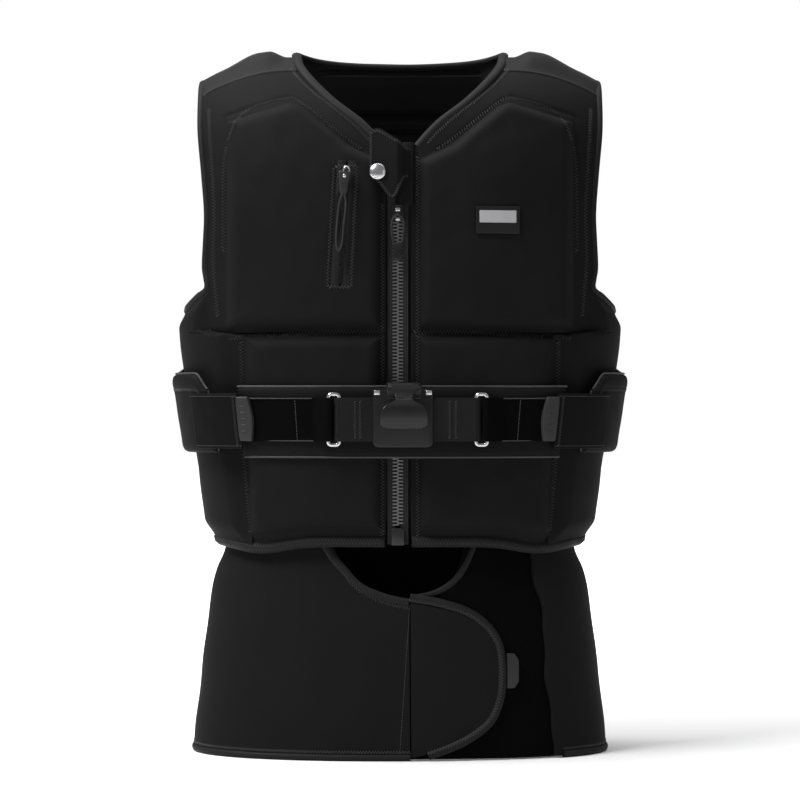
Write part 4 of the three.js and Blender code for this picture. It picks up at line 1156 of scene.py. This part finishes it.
def neck_and_patch():
    def tab(u, v, lift=2.7):
        x = lerp(8.5, -28, u)
        z = lerp(TAB_LOW(x), TAB_TOP(x), v)
        return vest_point(front_at(z), x, lerp(9, 21.5, smooth(u, 0.06, 0.3)) + lift)

    pad("neck_tab_cloth", (30, 30), tab, 0, "neck_tab", NEOPRENE, ["neck_tab"], fill=0.9, soften=1.1)

    def guard(u, v, out=9.0):
        z = lerp(511, 567, v)
        return vest_point(front_at(z), lerp(2.5, 12.5, u), out + 0.8 * smooth(np.minimum(u, 1 - u), 0, 0.3))

    pad("zip_guard", (8, 24), guard, 5.0, "vest", NEOPRENE, (), None, 0.8)
    rim = [(0.04, 0.05), (0.96, 0.06), (0.96, 0.94), (0.04, 0.95)]
    route = np.array([(lerp(a[0], b[0], i / 40), lerp(a[1], b[1], i / 40)) for a, b in zip(rim, rim[1:])
                      for i in range(40)])
    line = tab(route[:, 0], route[:, 1], 2.8)
    stitch("neck_tab", line, tab(route[:, 0], route[:, 1], 3.8) - line, 2.6, 2.2)
    sew("neck_tab", THREAD)
    bm = bmesh.new()
    dome = bmesh.ops.create_uvsphere(bm, u_segments=48, v_segments=24, radius=0.0077)["verts"]
    bmesh.ops.scale(bm, verts=dome, vec=(1, 1, 0.42))
    place = vest_point(front_at(537.5), -20.5, 25.2)
    bmesh.ops.rotate(bm, verts=dome, cent=(0, 0, 0), matrix=Matrix.Rotation(math.pi / 2 - 0.14, 3, "X"))
    bmesh.ops.translate(bm, verts=dome, vec=Vector(place) * 0.001)
    finished("snap_button", bm, "neck_tab", STEEL, ["snap_cap"], smooth_angle=60)
    frame["nodes"]["snap_stud"].data.materials.clear()
    frame["nodes"]["snap_stud"].data.materials.append(STEEL)

    def label(u, v, low, high, left, right, out):
        return vest_point(lerp(front_at(low), front_at(high), v), lerp(left, right, u), out)

    pad("patch_base", (20, 12), lambda u, v: label(u, v, 485, 509, 70, 110, 19),
        lambda u, v: label(u, v, 485, 509, 70, 110, 16), "vest", DARK_RUBBER, ["chest_patch"], None, 0.5)
    pad("patch_bar", (20, 6), lambda u, v: label(u, v, 494.5, 505, 73, 107, 19.5),
        lambda u, v: label(u, v, 494.5, 505, 73, 107, 18), "vest", PALE_PRINT, (), None, 0.2)


neck_and_patch()


# ------------------------------------------------------------ belt
WING_FRONT = 62
WING_TIP = 53.5
WING_BACK = 112
BELT_LOW = 283
BELT_HIGH = 356


def belt_top(degrees):
    return BELT_HIGH + 16 * smooth(np.abs(degrees), 88, 130)


def belt_angle(x, out):
    return float(np.abs(angle_of(vest_width, STRAP_MID, x, out)))


def on_face(face, u, v, inner=False):
    """A line on a face, and its outward side away from the same line on the inner face."""
    line = face(u, v)
    return line, line - face(u, v, inner)


def crowned(u, v, wide, high, room):
    """From 0 at a pad's rim to 1 a little way in, for a pad wide by high with a rim room across."""
    rim = np.minimum(np.minimum(u, 1 - u) * wide, np.minimum(v, 1 - v) * high)
    return np.sqrt(np.clip(1 - (1 - np.clip(rim / room, 0, 1)) ** 2, 0, 1))


def piping(name, line, up, body="vest", thick=2.2):
    banded(name, line, thick, thick, body, PALE_PIPING, (), 8, up)


def belt():
    def back(u, v, outer=True):
        degrees = lerp(WING_BACK + 0.6, 359.4 - WING_BACK, u)
        folded = np.where(degrees > 180, 360 - degrees, degrees)
        z = lerp(BELT_LOW - 3, belt_top(folded), v)
        bulge = 4 + 5.2 * crowned(u, v, 300, 90, 12) + 0.5 * ripple(u * 300, v * 90, 41, 50)
        bulge -= 1.4 * np.exp(-((v - 0.5) * 90 / 2.5) ** 2) * smooth(np.minimum(u, 1 - u), 0.04, 0.08)
        return vest_ring(z, degrees, 18 + (bulge if outer else 0))

    pad("belt_back_pad", (150, 50), back, False, "vest", NEOPRENE, ["belt_back"])

    pad_from, pad_to = -belt_angle(147, 20), belt_angle(151, 20)

    def front(u, v, outer=True):
        degrees = lerp(pad_from, pad_to, u)
        bulge = 2.6 + 2.0 * crowned(u, v, 298, 64, 9)
        return vest_ring(lerp(280, 344, v), degrees, 17.8 + (bulge if outer else 0))

    pad("belt_front_cushion", (120, 30), front, False, "vest", NEOPRENE, ["belt_front_pad"])
    for edge, z in (("top", 344.4), ("low", 279.6)):
        degrees = np.linspace(pad_from, pad_to, 120)
        line = vest_ring(z, degrees, 20)
        piping(f"belt_front_piping_{edge}", line, line - vest_ring(z, degrees, 19))

    for side, sign in (("right", -1), ("left", 1)):
        def wing(u, v, outer=True):
            degrees = lerp(WING_TIP, WING_BACK, u)
            curl = 5 * smooth(v, 0.7, 1) * (1 - u)
            fallen = 15 * (1 - smooth(degrees, WING_TIP, WING_TIP + 7)) ** 1.4
            inner = lerp(17.8, 18.4, u) + curl
            body = lerp(2.4, 6.6, crowned(u, v, 170, 85, 9)) - 2.0 * smooth(v, 0.8, 1)
            body -= 1.0 * np.exp(-((v - 0.8) * 85 / 2.2) ** 2)
            z = lerp(BELT_LOW, belt_top(degrees) - fallen, v)
            thick = body + 0.4 * ripple(u * 170, v * 85, 47, 40) if outer else 0
            return vest_ring(z, sign * degrees, inner + thick)

        pad(f"{side}_wing_pad", (70, 50), wing, False, "vest", NEOPRENE, [f"{side}_wing"])
        rim = np.linspace(0.01, 0.99, 80)
        line, up = on_face(wing, rim, np.full(80, 1.0))
        piping(f"{side}_wing_piping", line + (0, 0, 0.8), up)
        piping(f"{side}_wing_front_piping", *on_face(wing, np.full(30, 0.0), np.linspace(0.02, 1, 30)))
        stitch("vest", *on_face(wing, np.linspace(0.03, 0.97, 100), np.full(100, 0.8)), 3.0, 3.0)

        strap_end = belt_angle(147 if side == "right" else 143, 27)
        body = f"{side}_wing_strap"

        def strap(u, v, out=29):
            sag = 0.25 * ripple(u * 70, v * 55, 51, 30)
            return vest_ring(lerp(287, 338, v), sign * lerp(strap_end, WING_FRONT - 0.6, u), out + sag)

        pad(f"{side}_wing_band", (40, 30), strap, 26.3, body, SKIN, [f"{side}_wing_strap"], None, 0.7)
        for height in (0.05, 0.95):
            run_u = np.linspace(0.02, 0.98, 60)
            line = strap(run_u, np.full(60, height), 29.1)
            stitch(body, line, line - strap(run_u, np.full(60, height), 28), 2.6, 1.0, 0.3, "running")
        line = strap(np.full(30, 0.07), np.linspace(0.06, 0.94, 30), 29.1)
        stitch(body, line, line - strap(np.full(30, 0.07), np.linspace(0.06, 0.94, 30), 28), 2.6, 2.4)
        sew(body, THREAD)
        tab_end = belt_angle(137.5 if side == "right" else 133, 27)
        tab_root = belt_angle(148 if side == "right" else 143.5, 27)

        def rubber(u, v, out=30.2):
            bow = 1.2 * np.sin(math.pi * v) * (1 - u)
            degrees = lerp(tab_end - bow, tab_root, u)
            return vest_ring(lerp(294, 335, v), sign * degrees, out - 0.8 * np.abs(2 * v - 1) ** 6)

        pad(f"{side}_tab_rubber", (14, 24), rubber, 26.5, body, RUBBER, [f"{side}_strap_tab"], None, 0.9)
        for k in range(5):
            rib = rubber(np.linspace(0.35, 0.65, 8), np.full(8, 0.22 + 0.14 * k), 30.3)
            banded(f"{side}_tab_rib_{k}", rib, 1.4, 1.0, body, RUBBER, (), 8, rib * (1, 1, 0))


belt()


# ------------------------------------------------------------ rings, loop straps and webbing
WIRE = 4
RING_X = {"right": -60.5, "left": 74.5}
RING_WIDE = 13.6
RING_HIGH = 50.4
PLATE_X = 2.7
STRAP_HIGH = 40


def wire_loop(name, x, z, wide, high, corner, stands_for):
    """A rectangle of round wire with rounded corners, standing in the plane of the bar."""
    half_w, half_h = wide / 2 - WIRE / 2, high / 2 - WIRE / 2
    radius = corner - WIRE / 2
    line = []
    for sx, sz, start in ((1, 1, 0), (-1, 1, 90), (-1, -1, 180), (1, -1, 270)):
        for k in range(9):
            a = math.radians(start + 90 * k / 8)
            line.append((x + sx * (half_w - radius) + radius * math.cos(a), BAR_Y,
                         z + sz * (half_h - radius) + radius * math.sin(a)))
    banded(name, line, WIRE, WIRE, "vest", STEEL, stands_for, 14, (0, -1, 0), True)


def arc(x, y, radius, start, end, steps=10):
    return [(x + radius * math.cos(math.radians(lerp(start, end, k / steps))),
             y + radius * math.sin(math.radians(lerp(start, end, k / steps)))) for k in range(steps + 1)]


def strap_sheet(name, plan, thick, body, finish, stands_for=(), high=STRAP_HIGH, soften=0.5):
    """A flat strap standing upright, with square woven edges, on its plan line (x, y)."""
    line = evenly([(x, y, 0) for x, y in plan], 1.5)
    run = np.gradient(line, axis=0)
    run /= np.linalg.norm(run, axis=1)[:, None]
    side = np.stack([run[:, 1], -run[:, 0], np.zeros(len(run))], -1)
    order = np.arange(len(line))

    def face(u, v, share=0.5):
        at = u * (len(line) - 1)
        spot = np.stack([np.interp(at, order, (line + side * thick * share)[:, k]) for k in (0, 1)], -1)
        return np.concatenate([spot, (STRAP_MID + (v - 0.5) * high)[:, None]], -1)

    return pad(name, (len(line) - 1, 10), face, -0.5, body, finish, stands_for, None, soften)


VELVET_OUT = 24.2


def harness():
    for side, sign in (("right", -1), ("left", 1)):
        ring_x = RING_X[side]
        wire_loop(f"{side}_d_ring", ring_x, STRAP_MID, RING_WIDE, RING_HIGH, 5, [f"{side}_ring"])
        outer = ring_x + sign * (RING_WIDE / 2 - WIRE / 2)
        inner = ring_x - sign * (RING_WIDE / 2 - WIRE / 2)
        eye = WIRE / 2 + 1.4

        # The velvet strap goes round the ring's outer wire and back along the pad.
        start, end = belt_angle(abs(outer) + 14, VELVET_OUT), belt_angle(abs(outer) + 100, VELVET_OUT)
        far = [tuple(vest_ring(STRAP_MID, sign * d, VELVET_OUT)[:2]) for d in np.linspace(start, end, 40)]
        turn = arc(outer, BAR_Y, eye, 60, 270, 14) if sign > 0 else arc(outer, BAR_Y, eye, 120, -90, 14)
        plan = smooth_line([(x, y, 0) for x, y in turn + far], 3)[:, :2]
        strap_sheet(f"{side}_velvet_strap", plan, 2.0, "vest", LOOP, [f"{side}_loop_strap"])
        seam = vest_ring(np.linspace(STRAP_MID - 18, STRAP_MID + 18, 30),
                         sign * belt_angle(abs(outer) + 30, VELVET_OUT + 1.3), VELVET_OUT + 1.3)
        stitch("vest", seam, (0, -1, 0), 2.4, 1.2, 0.4, "running")
        for edge in (-1, 1):
            degrees = sign * np.linspace(start, end, 60)
            run = vest_ring(STRAP_MID + edge * 19.4, degrees, VELVET_OUT + 1.2)
            up = vest_ring(STRAP_MID + edge * 19.4, degrees, VELVET_OUT + 2.2) - run
            name = f"{side}_selvage_{'low' if edge < 0 else 'top'}"
            banded(name, run, 1.0, 0.8, "vest", PALE_PIPING, (), 6, up)

        # The webbing is a closed loop round the ring's inner wire and the frame's upright.
        upright = PLATE_X + sign * 23
        gap = 3.6
        near = arc(inner, BAR_Y, gap, -90, 90) if sign > 0 else arc(inner, BAR_Y, gap, 270, 90)
        away = arc(upright, BAR_Y, gap, 90, 270) if sign > 0 else arc(upright, BAR_Y, gap, 90, -90)
        loop = [*near, *away]
        strap_sheet(f"{side}_web", loop + [loop[0]], 1.5, "vest", WEBBING, [f"{side}_webbing"], soften=0.3)
        for x in (lerp(inner, upright, 0.42), lerp(inner, upright, 0.55)):
            z = np.linspace(STRAP_MID - 17, STRAP_MID + 17, 30)
            line = np.stack([np.full(30, x), np.full(30, BAR_Y - gap - 0.8), z], -1)
            stitch("vest", line, (0, -1, 0), 2.4, 2.2)
    wire_loop("plate_frame", PLATE_X, STRAP_MID + 1, 50, 52, 5, ["spreader_frame"])


harness()


# ------------------------------------------------------------ spreader plate and its hook
PLATE_FRONT = BAR_Y - 6.6
HOOK_LINE = smooth_line([
    (0.4, 333, 0), (0.4, 339, 0), (2.5, 344.5, 0), (7, 346, 0), (11, 342.5, 0), (13.4, 337, 0),
    (16, 333.4, 0), (20, 331, 0), (23, 326, 0), (23.5, 317, 0), (21.5, 306, 0)], 12)
HOOK_HALF = through([
    (0, 15), (0.26, 15.5), (0.35, 12), (0.44, 9), (0.52, 8), (0.59, 8.4), (0.65, 14), (0.7, 18.8), (0.77, 21),
    (0.86, 21.5), (0.95, 20.5), (1, 16)])
HOOK_THICK = 4


def spreader():
    softened("plate", "spreader_plate", "vest", COATED, 1.0, 3)
    run = np.gradient(HOOK_LINE[:, :2], axis=0)
    run /= np.linalg.norm(run, axis=1)[:, None]
    length = np.concatenate([[0], np.cumsum(np.linalg.norm(np.diff(HOOK_LINE[:, :2], axis=0), axis=1))])
    length /= length[-1]

    def hook(u, v, side=0.5):
        forward, z = np.interp(v, length, HOOK_LINE[:, 0]), np.interp(v, length, HOOK_LINE[:, 1])
        tf, tz = np.interp(v, length, run[:, 0]), np.interp(v, length, run[:, 1])
        out = side * HOOK_THICK
        y = PLATE_FRONT - HOOK_THICK / 2 - forward - out * tz
        return np.stack([PLATE_X + 1 + (2 * u - 1) * HOOK_HALF(v), y, z - out * tf], -1)

    pad("hook", (14, 60), hook, -0.5, "vest", COATED, ["spreader_hook"], None, 1.2)
    # A strip of polished steel over the coated hook's saddle: a painted highlight where the upward ledge
    # catches the light.
    pad("hook_saddle", (8, 10), lambda u, v: hook(lerp(0.03, 0.97, u), lerp(0.5, 0.655, v), 0.62),
        lambda u, v: hook(lerp(0.03, 0.97, u), lerp(0.5, 0.655, v), 0.3), "vest", STEEL, (), None, 0.2)
    bm = bmesh.new()
    for low, high in ((-26.6, -20.5), (20.5, 26.6)):
        lug = block(bm, (PLATE_X + low, PLATE_FRONT - 1.2, 336.5), (PLATE_X + high, PLATE_FRONT + 2.6, 341))
        round_over(bm, lug, 1.0, 3)
    finished("plate_lugs", bm, "vest", STEEL, smooth_angle=35)


spreader()


# ------------------------------------------------------------ kidney belt
SKIRT_TOP = 216
SKIRT_LOW = 8
SIDE_ANGLE = 95
FLAP_SEAM = 9
RIGHT_TOP = through([(-78, SKIRT_TOP), (-66, 191), (-55, 178), (-38.5, 160), (-14, 149), (FLAP_SEAM, 144)])
LEFT_TOP = through([(-8, 146), (9, 149), (32, 154), (50, 165), (62, 182), (76, SKIRT_TOP)])
LEFT_EDGE = through([(SKIRT_LOW, 141), (57, 137), (112, 133), (167, 124), (SKIRT_TOP, 118)])
FLAP_OUTLINE = [
    (9, 149.5), (38, 144.3), (64, 135.4), (81.3, 122.2), (90.4, 108.4), (93.8, 92.5),
    (94.2, 73.5), (92.2, 56), (83.4, 36), (65.7, 21.6), (48.2, 13.1), (26, 5.2),
]
FLAP_TOP = through([(FLAP_SEAM, 145), (36.7, 140), (62, 132), (77, 121), (86, 107), (89.5, 92)])
FLAP_LOW = through([(FLAP_SEAM, 3), (22, 6), (46, 16.5), (62, 26), (77, 40), (86, 58), (89.5, 80)])


def skirt_x(degrees):
    return skirt_ring(100, degrees, 4)[..., 0]


def skirt_angle(x):
    return float(angle_of(skirt_width, 100, x, 4))


def skirt_at(x, z, out):
    """A place on the skirt's front, and its outward side."""
    x, z = np.asarray(x, float), np.asarray(z, float)
    here = skirt_ring(z, angle_of(skirt_width, z, x, out), out)
    away = skirt_ring(z, angle_of(skirt_width, z, x, out), out + 1) - here
    return here, away / np.linalg.norm(away, axis=-1)[..., None]


def sag(x, z, seed):
    """Slow unevenness of thin neoprene, with faint creases that fall from where the hem is pulled in."""
    crease = 0.0
    for at, lean, depth in ((-132, 0.35, 0.9), (-96, 0.22, 0.6), (126, -0.3, 0.8), (-40, 0.1, 0.3)):
        crease = crease - depth * np.exp(-((x - at + lean * (z - 190)) / 5) ** 2) * smooth(z, 95, 185)
    return 0.6 * ripple(x, z, seed, 75) + crease


def kidney_belt():
    def panel(start, end, low, high, inner, outer, seed):
        def face(u, v, front=True):
            degrees = lerp(start, end, u)
            x = skirt_x(degrees)
            z = lerp(low(x), high(x), v)
            out, share = (outer, 1) if front else (inner, 0.6)
            return skirt_ring(z, degrees, out + share * sag(x, z, seed))
        return face

    def level(z):
        return lambda x: np.full(np.shape(x), float(z))

    side = SIDE_ANGLE
    seam = skirt_angle(FLAP_SEAM)
    low, top = level(SKIRT_LOW - 6), level(SKIRT_TOP - 1)
    pad("kidney_back", (150, 60), panel(side + 0.4, 359.6 - side, low, top, 1.6, 6.8, 61), False,
        "vest", NEOPRENE, ["skirt_back"], soften=0.8)
    pad("kidney_right_front", (110, 70), panel(-side, seam, low, RIGHT_TOP, 3.8, 7.4, 62), False,
        "vest", NEOPRENE, ["skirt_right_front"], soften=0.8)
    pad("kidney_loop_panel", (60, 60), panel(skirt_angle(-8), 60, level(1.5), LEFT_TOP, 0.4, 2.8, 63), False,
        "vest", LOOP, ["skirt_loop_panel"], soften=0.6)
    face = panel(skirt_angle(FLAP_SEAM + 0.8), skirt_angle(90), FLAP_LOW, FLAP_TOP, 4.6, 8.2, 62)
    pad("kidney_flap", (60, 60), face, False, "skirt_flap", NEOPRENE, ["skirt_flap"], soften=0.8)

    def left_front(u, v, front=True):
        z = lerp(SKIRT_LOW - 6, SKIRT_TOP, v)
        wave = 1.6 * np.sin(z / 17.0) + 1.0 * np.sin(z / 7.3 + 1)
        start = angle_of(skirt_width, z, LEFT_EDGE(z) + wave, 4)
        degrees = lerp(start, side, u)
        out = 7.4 if front else 3.8
        return skirt_ring(z, degrees, out + sag(skirt_x(degrees), z, 64))

    pad("kidney_left_front", (50, 70), left_front, False, "vest", NEOPRENE, ["skirt_left_front"], soften=0.8)

    # Bound edges: the right front's curved top, the loop panel's curved top, the flap's rim and the hem.
    x = np.linspace(-76, 8, 60)
    line, up = skirt_at(x, RIGHT_TOP(x) + 0.5, 6.4)
    banded("kidney_right_edge", line, 8, 5.6, "vest", BINDING, (), 12, up)
    line, up = skirt_at(x, RIGHT_TOP(x) - 4.2, 9.0)
    stitch("vest", line, up, 2.8, 2.6)
    x = np.linspace(12, 74, 50)
    line, up = skirt_at(x, LEFT_TOP(x) - 0.5, 2.4)
    banded("kidney_left_edge", line, 6, 4.2, "vest", BINDING, (), 12, up)
    rim = smooth_line([(x, 0, z) for x, z in FLAP_OUTLINE], 10)
    line, up = skirt_at(rim[:, 0], rim[:, 2], 7.0)
    banded("kidney_flap_edge", line, 8.4, 5.8, "skirt_flap", BINDING, ["skirt_flap_binding"], 12, up)
    away = np.cross(up, np.gradient(line, axis=0))
    away /= np.linalg.norm(away, axis=1)[:, None]
    stitch("skirt_flap", line + up * 2.9 - away * 2.2, up, 2.8, 2.6)
    sew("skirt_flap", THREAD)
    start, end = skirt_angle(142), 360 + skirt_angle(FLAP_SEAM)
    degrees = np.linspace(start, end, 420)
    line = skirt_ring(3.2, degrees, 6.6)
    up = skirt_ring(3.2, degrees, 7.6) - line
    banded("kidney_hem", line, 6.2, 5.6, "vest", BINDING, ["skirt_hem"], 12, up)
    stitch("vest", skirt_ring(8.2, degrees, 8.6), up, 2.8, 2.4)

    # Seams: where the flap starts, and down the back.
    z = np.linspace(8, 142, 80)
    x = lerp(0, FLAP_SEAM, (z - 8) / 134)
    line, up = skirt_at(x, z, 7.6)
    stitch("vest", line, up, 2.6, 1.0, 0.3, "running")
    for degrees in (140, 220):
        z = np.linspace(12, 210, 90)
        line = skirt_ring(z, degrees, 7.2)
        stitch("vest", line, skirt_ring(z, degrees, 8.2) - line, 3.0, 4.0)
    softened("kidney_flap_rubber", "skirt_flap_tab", "skirt_flap", RUBBER, 0.7, 3)


kidney_belt()

sew("vest", THREAD)
